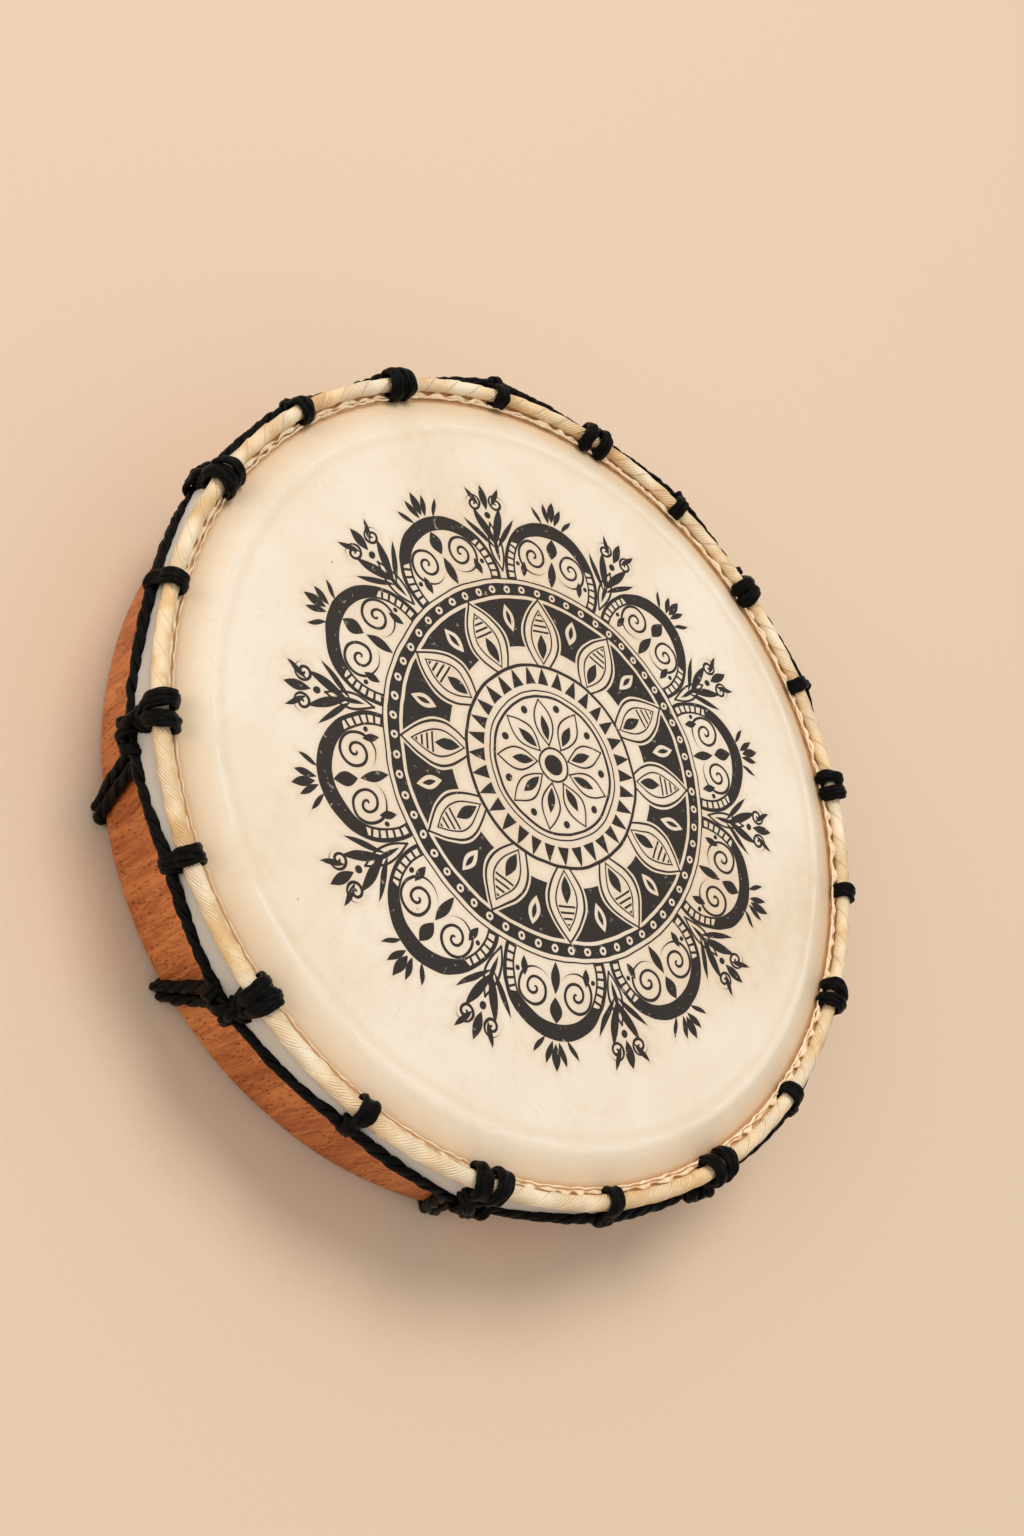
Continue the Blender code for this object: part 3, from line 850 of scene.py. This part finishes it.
def strand_tree():
    """Strands laid along a path, side by side or twisted, each with filaments along it."""
    net, size, line = geometry_tree("laid_strands", STRAND_NUMBERS, ("Strands", "Sides"))
    count, seed = size["Strands"], size["Seed"]
    stepped = {"Curve": line, "Length": size["Step"]}
    line = net.result("GeometryNodeResampleCurve", {"mode": "LENGTH"}, stepped)
    copied = {"Geometry": line, "Amount": count}
    copies = net.add("GeometryNodeDuplicateElements", {"domain": "SPLINE"}, copied)
    parameter = net.add("GeometryNodeSplineParameter")
    shape, length = captured(net, copies.outputs[0], parameter.outputs["Length"])
    shape, number = captured(net, shape, copies.outputs[1])
    named = {"Name": "side"}
    side = net.result("GeometryNodeInputNamedAttribute", {"data_type": "FLOAT_VECTOR"}, named)
    tangent = net.result("GeometryNodeInputTangent")
    outward = net.vector("NORMALIZE", net.vector("CROSS_PRODUCT", side, tangent))
    shape, side = captured(net, shape, side, "VECTOR")
    shape, outward = captured(net, shape, outward, "VECTOR")
    phase = (length / size["Pitch"] + number / count) * TURN
    full = 1.0 - size["Pinch"] * (1.0 - sine(Field(parameter.outputs["Factor"]) * math.pi))
    spread = (number - (count - 1.0) * 0.5) * size["Spacing"] * full
    beside = cosine(phase) * size["Twist Radius"] + spread
    share = (number - (count - 1.0) * 0.5) / (count * 0.5)
    out = sine(phase) * size["Twist Radius"] + (1.0 - share * share) * size["Crown"] * full
    here = net.result("GeometryNodeInputPosition")
    drift_at = net.vector("ADD", here, net.join(seed + number * 3.7, number * 1.9, 0.0))
    drift = net.add("ShaderNodeTexNoise", inputs={"Vector": drift_at, "Scale": 130.0, "Detail": 1.0})
    drift = net.vector("SUBTRACT", drift.outputs[1], (0.5, 0.5, 0.5))
    offset = net.vector("ADD", net.scaled(side, beside), net.scaled(outward, out))
    offset = net.vector("ADD", offset, net.scaled(drift, size["Wander"]))
    shape = moved(net, shape, Offset=offset)
    facing = net.vector("ADD", net.scaled(side, cosine(phase)), net.scaled(outward, sine(phase)))
    twisted = net.result("FunctionNodeCompare", inputs={0: size["Twist Radius"], 1: 0.0})
    choice = {0: twisted, 1: outward, 2: facing}
    facing = net.result("GeometryNodeSwitch", {"input_type": "VECTOR"}, choice)
    faced = {"Curve": shape, "Normal": facing}
    shape = net.result("GeometryNodeSetCurveNormal", {"mode": "FREE"}, faced)
    section, around = strand_section(net, size)
    swept = {"Curve": shape, "Profile Curve": section, "Fill Caps": True}
    shape = net.result("GeometryNodeCurveToMesh", inputs=swept)
    x, y = cosine(around * TURN), sine(around * TURN)
    along = length + number * STRAND_OFFSET
    place_on = net.join(x, y, along)
    stored = {"Geometry": shape, "Name": "strand", "Value": place_on}
    settings = {"data_type": "FLOAT_VECTOR", "domain": "POINT"}
    shape = net.result("GeometryNodeStoreNamedAttribute", settings, stored)
    shape = crumpled(net, shape, size, x, y, along + seed)
    return close_tree(net, shape, size["Material"])


def strand_section(net, size):
    """An oval section, and the share of the way round it."""
    inputs = {"Resolution": size["Sides"], "Radius": 0.5}
    line = net.result("GeometryNodeCurvePrimitiveCircle", inputs=inputs)
    factor = net.add("GeometryNodeSplineParameter").outputs["Factor"]
    shape, share = captured(net, line, factor)
    x, y, z = net.split(net.result("GeometryNodeInputPosition"))
    where = net.join(x * size["Thickness"], y * size["Width"], 0.0)
    return moved(net, shape, Position=where), share


def crumpled(net, shape, size, x, y, along):
    """Filaments that run along a strand and soft dents in it, as small moves of its surface."""
    many = size["Filaments"]
    ridges = net.noise(net.join(x * many, y * many, along * 42.0), 1.0, 2.0, 0.5)
    dents = net.noise(net.join(x * 0.55, y * 0.55, along * 150.0), 1.0, 1.0)
    height = (ridges - 0.5) * size["Filament Depth"] + (dents - 0.5) * size["Crumple"]
    return swollen(net, shape, height)


def strip_tree():
    """Two strips wound round a ring's tube: each turn laps over the last one."""
    net, size, line = geometry_tree("wound_strip", ("Tube", "Lap", "Crease"), ("Steps", "Sides"))
    counted = {"Curve": line, "Count": size["Steps"]}
    line = net.result("GeometryNodeResampleCurve", {"mode": "COUNT"}, counted)
    line = net.result("GeometryNodeSetCurveNormal", {"mode": "Z_UP"}, {"Curve": line})
    round_line = {"Resolution": size["Sides"], "Radius": size["Tube"] * 0.5}
    section = net.result("GeometryNodeCurvePrimitiveCircle", inputs=round_line)
    swept = {"Curve": line, "Profile Curve": section}
    shape = net.result("GeometryNodeCurveToMesh", inputs=swept)
    where = net.result("GeometryNodeInputPosition")
    lap = laps(net, where)[2]
    step = net.ramp(lap, 0.0, 0.07) * (1.0 - lap) - 0.6
    folds = net.noise(where, 210.0, 2.0, 0.6) + net.noise(where, 70.0, 1.0) - 1.0
    shape = swollen(net, shape, step * size["Lap"] + folds * size["Crease"])
    return close_tree(net, shape, size["Material"])


def mark_points(mesh, name, vectors):
    """Stores a vector on each point of a mesh."""
    attribute = mesh.attributes.new(name, "FLOAT_VECTOR", "POINT")
    attribute.data.foreach_set("vector", np.array([tuple(v) for v in vectors], np.float32).ravel())


def path_mesh(name, points, sides, closed):
    """A line of edges that carries the sideways direction at each point."""
    mesh = bpy.data.meshes.new(name)
    edges = [(i, i + 1) for i in range(len(points) - 1)]
    if closed:
        edges.append((len(points) - 1, 0))
    mesh.from_pydata([tuple(p) for p in points], edges, [])
    mark_points(mesh, "side", sides)
    return mesh


def grown(name, points, sides, tree, sizes, finish, closed=False):
    """The plain mesh that a tree makes from a path."""
    path = path_mesh(name, points, sides, closed)
    carrier = linked(name, path)
    grower = carrier.modifiers.new("grow", "NODES")
    grower.node_group = tree
    given = {**sizes, "Material": finish}
    for item in tree.interface.items_tree:
        if item.in_out == "INPUT" and item.name in given:
            grower[item.identifier] = given[item.name]
    graph = bpy.context.evaluated_depsgraph_get()
    mesh = bpy.data.meshes.new_from_object(carrier.evaluated_get(graph), depsgraph=graph)
    carrier.modifiers.remove(grower)
    bpy.data.objects.remove(carrier)
    bpy.data.meshes.remove(path)
    mesh.name = name
    return mesh


def joined(name, meshes):
    """Several meshes as one."""
    points, faces, marks = [], [], []
    for mesh in meshes:
        base = len(points)
        points += [v.co.copy() for v in mesh.vertices]
        faces += [[base + i for i in f.vertices] for f in mesh.polygons]
        marks += [tuple(v.vector) for v in mesh.attributes["strand"].data]
    one = mesh_of(name, points, faces, meshes[0].materials[0])
    mark_points(one, "strand", marks)
    for mesh in meshes:
        bpy.data.meshes.remove(mesh)
    return one


# Places round the drum


def polar(radius, turn, height):
    return Vector((radius * math.cos(turn), radius * math.sin(turn), height))


def sideways(turn):
    return Vector((-math.sin(turn), math.cos(turn), 0.0))


def bearing(node, reach=1.0):
    """The direction from the drum's axis of the part of a solid that lies within a reach of it."""
    near = [v.co for v in NODES[node].data.vertices if v.co.xy.length < reach]
    middle = sum(near, Vector()) / len(near)
    return math.atan2(middle.y, middle.x)


def on_side(turn, route):
    """Points and sideways directions of a route of (radius, sideways, height) at a place round the drum."""
    points = [polar(r, turn, z) + sideways(turn) * s for r, s, z in route]
    return points, [sideways(turn)] * len(points)


def smooth(route, steps=6):
    """More points on a smooth curve through the points of a route."""
    known = np.array(route, float)
    padded = np.vstack([2 * known[0] - known[1], known, 2 * known[-1] - known[-2]])
    made = []
    for i in range(1, len(padded) - 2):
        a, b, c, d = padded[i - 1 : i + 3]
        lift, bend = 2 * a - 5 * b + 4 * c - d, 3 * b - a - 3 * c + d
        for t in np.arange(steps) / steps:
            made.append(0.5 * (2 * b + (c - a) * t + lift * t**2 + bend * t**3))
    return [*made, known[-1]]


def round_hoop(reach, start, end, steps):
    """Radii and heights round the hoop's tube, at a reach from its middle, from one angle to another."""
    return arc((WOUND_RADIUS, HOOP_HEIGHT), reach, start, end, steps)


# Cords

# Three strands laid into one cord
ROPE = {
    "Strands": 3, "Spacing": 0.0, "Twist Radius": 0.0015, "Pitch": 0.0300, "Width": 0.0035,
    "Thickness": 0.0027, "Filaments": 1.5, "Filament Depth": 0.0007, "Crumple": 0.0008,
    "Step": 0.0009, "Sides": 20, "Wander": 0.0016, "Seed": 0.0,
}
# Strands side by side, untwisted
BUNDLE = {
    "Twist Radius": 0.0, "Pitch": 1.0, "Width": 0.0030, "Thickness": 0.0026, "Filaments": 1.5,
    "Filament Depth": 0.0006, "Crumple": 0.0008, "Step": 0.0008, "Sides": 20, "Wander": 0.0030,
}
# Two thick strands twisted into the stem of a large hitch
STEM = {
    "Strands": 2, "Spacing": 0.0, "Twist Radius": 0.0018, "Pitch": 0.0160, "Width": 0.0042,
    "Thickness": 0.0033, "Filaments": 1.9, "Filament Depth": 0.0008, "Crumple": 0.0010,
    "Step": 0.0008, "Sides": 28, "Wander": 0.0010,
}
STEM_SHIFT = 0.0052  # how far along the running cord the doubled cord leaves a large knot
CORD_REACH = CORD / 2 + 0.0006  # from the running cord's middle to the middle of a strand round it
# Radius and height of the running cord at a small loop and at a large hitch
LOOP_CORD = (HEM_RADIUS + 0.0041, CORD_TOP + 0.0070)
HITCH_CORD = (HEM_RADIUS + 0.0028, CORD_BOTTOM + 0.0124)
HEM_FLARE = 0.0020  # how much further out the hem lies at the running cord than under the hoop
# Where the running cord rides up: the bearing and the half width in degrees, and how far
RIDES_UP = ((118.0, 36.0, 1.0), (12.0, 18.0, 0.4))


def running_route():
    """The running cord's line: high on the hem at each small loop, low on it at each large hitch."""
    turns = loop_turns()
    points, sides = [], []
    steps = 24
    for k in range(KNOTS):
        here, there = turns[k], turns[(k + 1) % KNOTS]
        if there > here:
            there -= TURN
        for i in range(steps):
            share = i / steps
            turn = here + (there - here) * share
            swing = math.acos(0.985 * math.cos(math.pi * share)) / math.pi
            radius, height = cord_place(turn, 1 - swing if k % 2 == 0 else swing)
            points.append(polar(radius, turn, height))
            sides.append(polar(1.0, turn, 0.0))
    return points, sides


def ride_up(turn):
    """How much higher than elsewhere the running cord lies at a bearing, from nought to one."""
    shares = []
    for middle, half, share in RIDES_UP:
        apart = abs((math.degrees(turn) - middle + 180) % 360 - 180)
        shares.append(share * min(1.0, max(0.0, (half + 20 - apart) / 20)))
    return max(shares)


def cord_place(turn, down):
    """Radius and height of the running cord: down is nought at a small loop and one at a large hitch."""
    up = ride_up(turn)
    radius = LOOP_CORD[0] + (HITCH_CORD[0] - LOOP_CORD[0]) * down + 0.0032 * up
    height = LOOP_CORD[1] + (HITCH_CORD[1] - LOOP_CORD[1]) * down + (0.0048 + 0.0070 * down) * up
    return radius, height


def pressed_flat(mesh):
    """Where a cord would reach below the floor, the drum's weight presses it flat."""
    for point in mesh.vertices:
        point.co.z = max(point.co.z, 0.0)
    return mesh


def loop_turns():
    """Where the large hitches and small loops sit, in turn, clockwise."""
    turns = []
    for number in range(1, KNOTS // 2 + 1):
        turns.append(bearing(f"large_hitch_{number:02d}"))
        turns.append(bearing(f"small_loop_{number:02d}"))
    return turns


def length_of(points, closed=False):
    """The length of a line through points."""
    ends = points[1:] + (points[:1] if closed else [])
    return sum((b - a).length for a, b in zip(points, ends))


def dress_running_cord(tree, finish):
    """The cord that runs all round, with a whole number of turns of its strands."""
    points, sides = running_route()
    length = length_of(points, closed=True)
    sizes = {**ROPE, "Pitch": length / round(length / ROPE["Pitch"])}
    mesh = grown("laced_running_cord", points, sides, tree, sizes, finish, closed=True)
    place("laced_running_cord", mesh, "cord", "running_cord")


def dress_tension_cords(tree, finish):
    """Doubled cords from each large knot round the back edge and in to the grip ring."""
    for number in range(1, KNOTS // 2 + 1):
        node = f"tension_cord_{number:02d}"
        start = bearing(f"large_hitch_{number:02d}")
        lean = bearing(node, GRIP_RADIUS * 1.5) - start
        lean = (lean + math.pi) % TURN - math.pi
        knot = cord_place(start, 1.0)
        over = half_cord(lean, 1.0, True, knot)
        under = half_cord(lean, -1.0, False, knot)
        route = over + list(reversed(under))
        points = [polar(r, start + a, z) + sideways(start + a) * s for r, z, a, s in route]
        sides = [sideways(start + a) for r, z, a, s in route]
        sizes = {**ROPE, "Seed": number * 1.3}
        mesh = grown(f"twisted_{node}", points, sides, tree, sizes, finish)
        place(f"twisted_{node}", pressed_flat(mesh), "cord", node)


def half_cord(lean, side, rising, knot):
    """One strand of a doubled cord: down the side, round the back edge and in to the grip ring."""
    reach = GAP + CORD / 2
    top = knot[1] - 0.0005
    corner = arc((SHELL_RADIUS, BACK_EDGE), reach, 0, -90, 6)
    share = [0.0, 0.12, 0.3, 0.55, 0.8, 0.93]
    foot = corner[0][1]
    route = [(knot[0] + 0.0010, top, 0.0)]
    route += [(CORD_ON_SHELL, top + (foot - top) * s, lean * s) for s in share[1:]]
    route += [(r, z, lean) for r, z in corner]
    if rising:
        route.append((SHELL_RADIUS - SHELL_WALL, corner[-1][1], lean))
    bend_reach = GRIP_TUBE / 2 + GAP + CORD / 2
    bend = arc((GRIP_RADIUS, GRIP_HEIGHT), bend_reach, 90 if rising else 270, 180, 5)
    route += [(r, z, lean) for r, z in bend]
    steps = np.arange(len(route))
    spread = np.interp(steps, [0, 5], [PAIR_AT_KNOT + 0.0015, PAIR_AT_RIM - 0.0004])
    shift = np.interp(steps, [0, 4], [math.copysign(STEM_SHIFT, lean), 0.0])
    return [(r, z, a, side * w / 2 + m) for (r, z, a), w, m in zip(route, spread, shift)]


def dress_knots(kind, parts_of, tree, finish):
    """All the small loops, or all the large hitches: each is one piece of strands laid in flat bundles."""
    for number in range(1, KNOTS // 2 + 1):
        node = f"{kind}_{number:02d}"
        turn = bearing(node)
        strands = []
        for k, (route, own) in enumerate(parts_of(number, turn)):
            points, sides = on_side(turn, smooth(route))
            if own.pop("Level", False):
                sides = [Vector((0.0, 0.0, 1.0))] * len(points)
            strands.append(grown(f"{node}_{k}", points, sides, tree, own, finish))
        place(f"corded_{node}", joined(f"corded_{node}", strands), "cord", node)


def loop_parts(number, turn):
    """Bundles side by side over the hoop, hooked round the running cord, and a wrap round it."""
    skew = np.random.default_rng(LOOP_SEED + number).uniform(-0.0014, 0.0014)
    out, height = cord_place(turn, 0.0)
    reach = WOUND_TUBE / 2 + 0.0011
    parts = []
    for k, side in enumerate((-0.0017, 0.0017)):
        line = arc((out - 0.0007, height), CORD_REACH, -130, 20, 5)
        line += round_hoop(reach + 0.0003, -10, 190, 8) + round_hoop(reach - 0.0006, 215, 290, 3)
        line.append((HEM_RADIUS - 0.0008, HOOP_HEIGHT - 0.0066))
        lean = np.linspace(-1.0, 1.0, len(line))
        squeeze = np.interp(np.arange(len(line)), [0, 5, 9, 16], [0.65, 0.75, 1.05, 1.0])
        route = [(r, side * q + skew * a, z) for (r, z), a, q in zip(line, lean, squeeze)]
        own = {"Strands": 2, "Spacing": 0.0017, "Crown": 0.0006, "Seed": number + 0.3 * k}
        parts.append((route, {**BUNDLE, **own}))
    hand = 1 if number % 2 else -1
    line = arc((out - 0.0006, height), CORD_REACH + 0.0002, -120, 125, 8)
    across = np.linspace(0.0032, -0.0032, len(line)) * hand
    route = [(r + 0.0004, s, z) for (r, z), s in zip(line, across)]
    own = {"Strands": 2, "Spacing": 0.0020, "Crown": 0.0006, "Width": 0.0026, "Seed": number * 0.7}
    return [*parts, (route, {**BUNDLE, **own})]


def hitch_parts(number, turn):
    """Two crumpled arms round the hoop, a crossing strand, a twisted stem and a knot on the running cord."""
    lean = bearing(f"tension_cord_{number:02d}", GRIP_RADIUS * 1.5) - turn
    hand = 1 if (lean + math.pi) % TURN > math.pi else -1
    knot = cord_place(turn, 1.0)
    draw = np.random.default_rng(HITCH_SEED + number)
    parts = [arm_route(side, draw) for side in (-1, 1)]
    parts += [*bar_routes(hand, draw), stem_route(hand, *knot), *knot_routes(hand, *knot)]
    return [(route, {**own, "Seed": number * 0.9 + k * 0.31}) for k, (route, own) in enumerate(parts)]


def arm_route(side, draw):
    """One turn round the hoop: close to the other one outside, apart from it inside."""
    reach = WOUND_TUBE / 2 + 0.0012
    line = [(WOUND_RADIUS + 0.0052, HOOP_HEIGHT - 0.0088)]
    line += round_hoop(reach + 0.0008, -35, 190, 9) + round_hoop(reach - 0.0006, 215, 295, 3)
    line.append((HOOP_RADIUS + 0.0030, HOOP_HEIGHT - 0.0080))
    apart = np.interp(np.arange(len(line)), [0, 2, 8, 10, 14], [0.0014, 0.0030, 0.0048, 0.0045, 0.0026])
    tip = draw.uniform(-0.0016, 0.0016)
    lean = tip * np.sin(np.linspace(0, math.pi, len(line)))
    route = [(r, side * a + b, z) for (r, z), a, b in zip(line, apart, lean)]
    spacing = 0.0017 + draw.uniform(-0.0002, 0.0002)
    return route, {**BUNDLE, "Strands": 4, "Spacing": spacing, "Crown": 0.0018, "Pinch": 0.4}


def bar_routes(hand, draw):
    """The bundle that crosses over both arms outside the hoop, aslant, and one tucked under it."""
    rise = hand * (0.0022 + draw.uniform(-0.0006, 0.0006))
    out, mid = WOUND_RADIUS + WOUND_TUBE / 2 + 0.0038, HOOP_HEIGHT - 0.0068
    across = [-0.0066, -0.0054, -0.0028, 0.0004, 0.0032, 0.0056, 0.0064]
    depth = [-0.0068, -0.0026, 0.0002, 0.0010, -0.0002, -0.0030, -0.0070]
    bar = [(out + d, s, mid + rise * s / 0.006) for s, d in zip(across, depth)]
    low, tilt = mid - 0.0046, rise * 0.7
    tuck = [(out + d - 0.0016, s * 0.9, low - tilt * s / 0.006) for s, d in zip(across, depth)]
    both = {**BUNDLE, "Strands": 3, "Pinch": 0.3, "Level": True}
    return [
        (bar, {**both, "Spacing": 0.0021, "Crown": 0.0016}),
        (tuck, {**both, "Spacing": 0.0019, "Crown": 0.0010}),
    ]


def stem_route(hand, radius, height):
    """Two strands twisted on their way down over the hem, then along the running cord."""
    start = HOOP_HEIGHT - 0.0068
    fall = start - height
    route = [
        (WOUND_RADIUS + 0.0058, 0.0, start),
        (radius + 0.0038, hand * 0.0004, start - fall * 0.35),
        (radius + 0.0042, hand * 0.0012, start - fall * 0.65),
        (radius + 0.0040, hand * 0.0030, height + 0.0026),
        (radius + 0.0030, hand * 0.0056, height + 0.0010),
        (radius + 0.0018, hand * 0.0088, height + 0.0004),
        (radius + 0.0004, hand * 0.0120, height + 0.0014),
    ]
    return route, STEM


def knot_routes(hand, radius, height):
    """The wraps of the knot round the running cord and the stem."""
    centre = (radius + 0.0008, height + 0.0004)
    own = {**BUNDLE, "Strands": 2, "Spacing": 0.0021, "Crown": 0.0006}
    routes = []
    wraps = ((-0.0010, 0.0016, 0.0040), (0.0044, -0.0032, 0.0047), (0.0102, 0.0022, 0.0036))
    for middle, tilt, reach in wraps:
        line = arc(centre, reach, -125, 125, 8)
        lean = np.linspace(-1, 1, len(line)) * tilt
        routes.append(([(r, hand * (middle + a), z) for (r, z), a in zip(line, lean)], own))
    return routes


def level_ring(radius, height, count):
    """Points round a level ring, and the upward direction at each."""
    points = [polar(radius, t, height) for t in np.arange(count) * TURN / count]
    return points, [Vector((0.0, 0.0, 1.0))] * count


def dress_hoop(tree, finish):
    """The hoop wound with pale strips."""
    points, sides = level_ring(WOUND_RADIUS, HOOP_HEIGHT, 360)
    sizes = {"Tube": WOUND_TUBE, "Lap": 0.00055, "Crease": 0.00046, "Steps": 1620, "Sides": 48}
    mesh = grown("strip_wound_hoop", points, sides, tree, sizes, finish, closed=True)
    place("strip_wound_hoop", mesh, "wrapping", "wrapped_hoop")


def scallops(draw, turn, count):
    """Uneven scallops round the drum: nought at each one's ends, up to one between them."""
    steps = draw.uniform(0.6, 1.5, count)
    ends = np.cumsum(steps) / steps.sum() * TURN
    index = np.searchsorted(ends, turn % TURN, side="right") % count
    starts = np.concatenate([[0.0], ends[:-1]])
    share = np.clip((turn % TURN - starts[index]) / (ends - starts)[index], 0.0, 1.0)
    skew = draw.uniform(0.75, 1.4, count)[index]
    tall = draw.uniform(0.35, 1.0, count)[index]
    return tall * np.sin(math.pi * share**skew) ** 1.6


def beside_cords(turn):
    """One away from the loops and hitches, less beside them, where they press on the trimmed edge."""
    places = np.array(loop_turns())
    apart = np.abs((turn[:, None] - places[None, :] + math.pi) % TURN - math.pi).min(axis=1)
    return np.clip(apart / 0.035, 0.25, 1.0)


def dress_grip(tree, finish):
    """The grip ring: a core wound with thin cord."""
    points, sides = level_ring(GRIP_RADIUS, GRIP_HEIGHT, 240)
    wraps, thread = 104, 0.0020
    sizes = {
        **ROPE, "Strands": 1, "Twist Radius": GRIP_TUBE / 2 - thread / 2,
        "Pitch": length_of(points, closed=True) / wraps, "Width": thread * 1.25, "Thickness": thread,
        "Filaments": 1.0, "Filament Depth": 0.0002, "Crumple": 0.0,
        "Step": 0.0002, "Sides": 8, "Wander": 0.0002,
    }
    mesh = grown("bound_grip_ring", points, sides, tree, sizes, finish, closed=True)
    place("bound_grip_ring", mesh, "binding", "grip_ring")


SCALLOPED_LIP = {"start": 0.0010, "least": 0.0009, "more": 0.0021, "rise": -0.0004, "curl": 0.0017}
NARROW_LIP = {"start": -0.0003, "least": 0.0006, "more": 0.0008, "rise": 0.0006, "curl": 0.0012}
LIP_SWAY = 0.0005
LIP_RISE_AT_FOOT = 0.35  # the share of its lift that a lip has at its foot


def dress_trim(finish):
    """The skin's trimmed edge: a thin scalloped lip, and a narrow one that stands up inside it."""
    for number, lip in enumerate((SCALLOPED_LIP, NARROW_LIP), 1):
        draw = np.random.default_rng(TRIM_SEED + number)
        turn = np.arange(2000) * TURN / 2000
        petal = scallops(draw, turn, TRIM_LINKS)
        tips = scallops(draw, turn, TRIM_LINKS * 2)
        bends = scallops(draw, turn, TRIM_LINKS) - scallops(draw, turn, TRIM_LINKS * 3 // 2)
        pressed = beside_cords(turn)
        reach = lip["least"] + lip["more"] * petal * pressed
        lift = lip["rise"] + lip["curl"] * petal * pressed + 0.0004 * tips
        foot = TRIM_FOOT + lip["start"] + LIP_SWAY * bends
        upper = [(0.12, 0.00034), (0.4, 0.00040), (0.75, 0.00034), (0.95, 0.00020), (1.0, 0.0)]
        lower = [(0.9, -0.00022), (0.5, -0.00034), (0.15, -0.00034), (0.0, 0.0)]

        def shaped(share, height, angle):
            """Stretches the lip to its reach and curls its outer side up."""
            radius = foot[None, :] + share * reach[None, :]
            raised = LIP_RISE_AT_FOOT + (1.0 - LIP_RISE_AT_FOOT) * share
            return radius, TRIM_HEIGHT + height + lift[None, :] * raised

        mesh = turned(f"trimmed_edge_{number}", upper + lower, len(turn), finish, shaped)
        piece = linked(f"trimmed_edge_{number}", mesh)
        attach(piece, "root")


# Camera, floor and light

CAMERA_AT = Vector((-0.0044, -0.5350, 0.6176))
CAMERA_RIGHT = Vector((0.4667, 0.6455, 0.6045))
CAMERA_UP = Vector((-0.8844, 0.3369, 0.3231))
CAMERA_LENS = 36.95
KEY_FROM = Vector((-0.40, 0.16, 0.90))
FILL_FROM = Vector((-0.45, -0.75, 0.48))


def set_camera():
    """The camera, as it was fitted to the view."""
    data = bpy.data.cameras.new("camera")
    data.sensor_width = 36.0
    data.lens = CAMERA_LENS
    data.clip_start = 0.01
    camera = linked("camera", data)
    up = (CAMERA_UP - CAMERA_RIGHT * CAMERA_UP.dot(CAMERA_RIGHT)).normalized()
    right = CAMERA_RIGHT.normalized()
    turn = Matrix((right, up, right.cross(up))).transposed()
    camera.matrix_world = Matrix.Translation(CAMERA_AT) @ turn.to_4x4()
    bpy.context.scene.camera = camera


def soft_light(name, come_from, distance, size, watts, tint):
    """A round soft light that faces the drum."""
    data = bpy.data.lights.new(name, "AREA")
    data.shape = "DISK"
    data.size = size
    data.energy = watts
    data.color = tint
    light = linked(name, data)
    away = come_from.normalized()
    light.location = away * distance
    light.rotation_mode = "QUATERNION"
    light.rotation_quaternion = away.to_track_quat("Z", "Y")


def set_stage():
    """The floor the drum lies on, two soft lights and the room's own light."""
    corners = [(-12.0, -12.0, 0.0), (12.0, -12.0, 0.0), (12.0, 12.0, 0.0), (-12.0, 12.0, 0.0)]
    finish = material("pale_floor", floor_dress)
    floor = linked("floor", mesh_of("floor", corners, [(0, 1, 2, 3)], finish))
    soft_light("key", KEY_FROM, 5.0, 2.4, 108.0, (1.0, 0.94, 0.87))
    soft_light("fill", FILL_FROM, 5.0, 3.0, 54.0, (1.0, 0.95, 0.90))
    world = bpy.data.worlds.new("studio")
    bpy.context.scene.world = world
    world.use_nodes = True
    room = world.node_tree.nodes["Background"].inputs
    room["Color"].default_value = (1.0, 0.955, 0.90, 1.0)
    room["Strength"].default_value = 0.54
    bpy.context.scene.view_settings.view_transform = "Standard"


def build():
    set_camera()
    set_stage()
    dress_shell(material("oiled_red_wood", wood_dress, {"Specular IOR Level": 0.3}))
    dress_skin(material("printed_rawhide", skin_dress, {"Specular IOR Level": 0.28}))
    dress_hoop(strip_tree(), material("pale_strip", strip_dress))
    strands = strand_tree()
    cord = material("black_satin_cord", cord_dress, {"Specular IOR Level": 0.09})
    dress_running_cord(strands, cord)
    dress_knots("small_loop", loop_parts, strands, cord)
    dress_knots("large_hitch", hitch_parts, strands, cord)
    dress_tension_cords(strands, cord)
    dress_grip(strands, material("black_grip_winding", binding_dress, {"Specular IOR Level": 0.09}))
    dress_trim(material("trimmed_rawhide", trim_dress))


build()
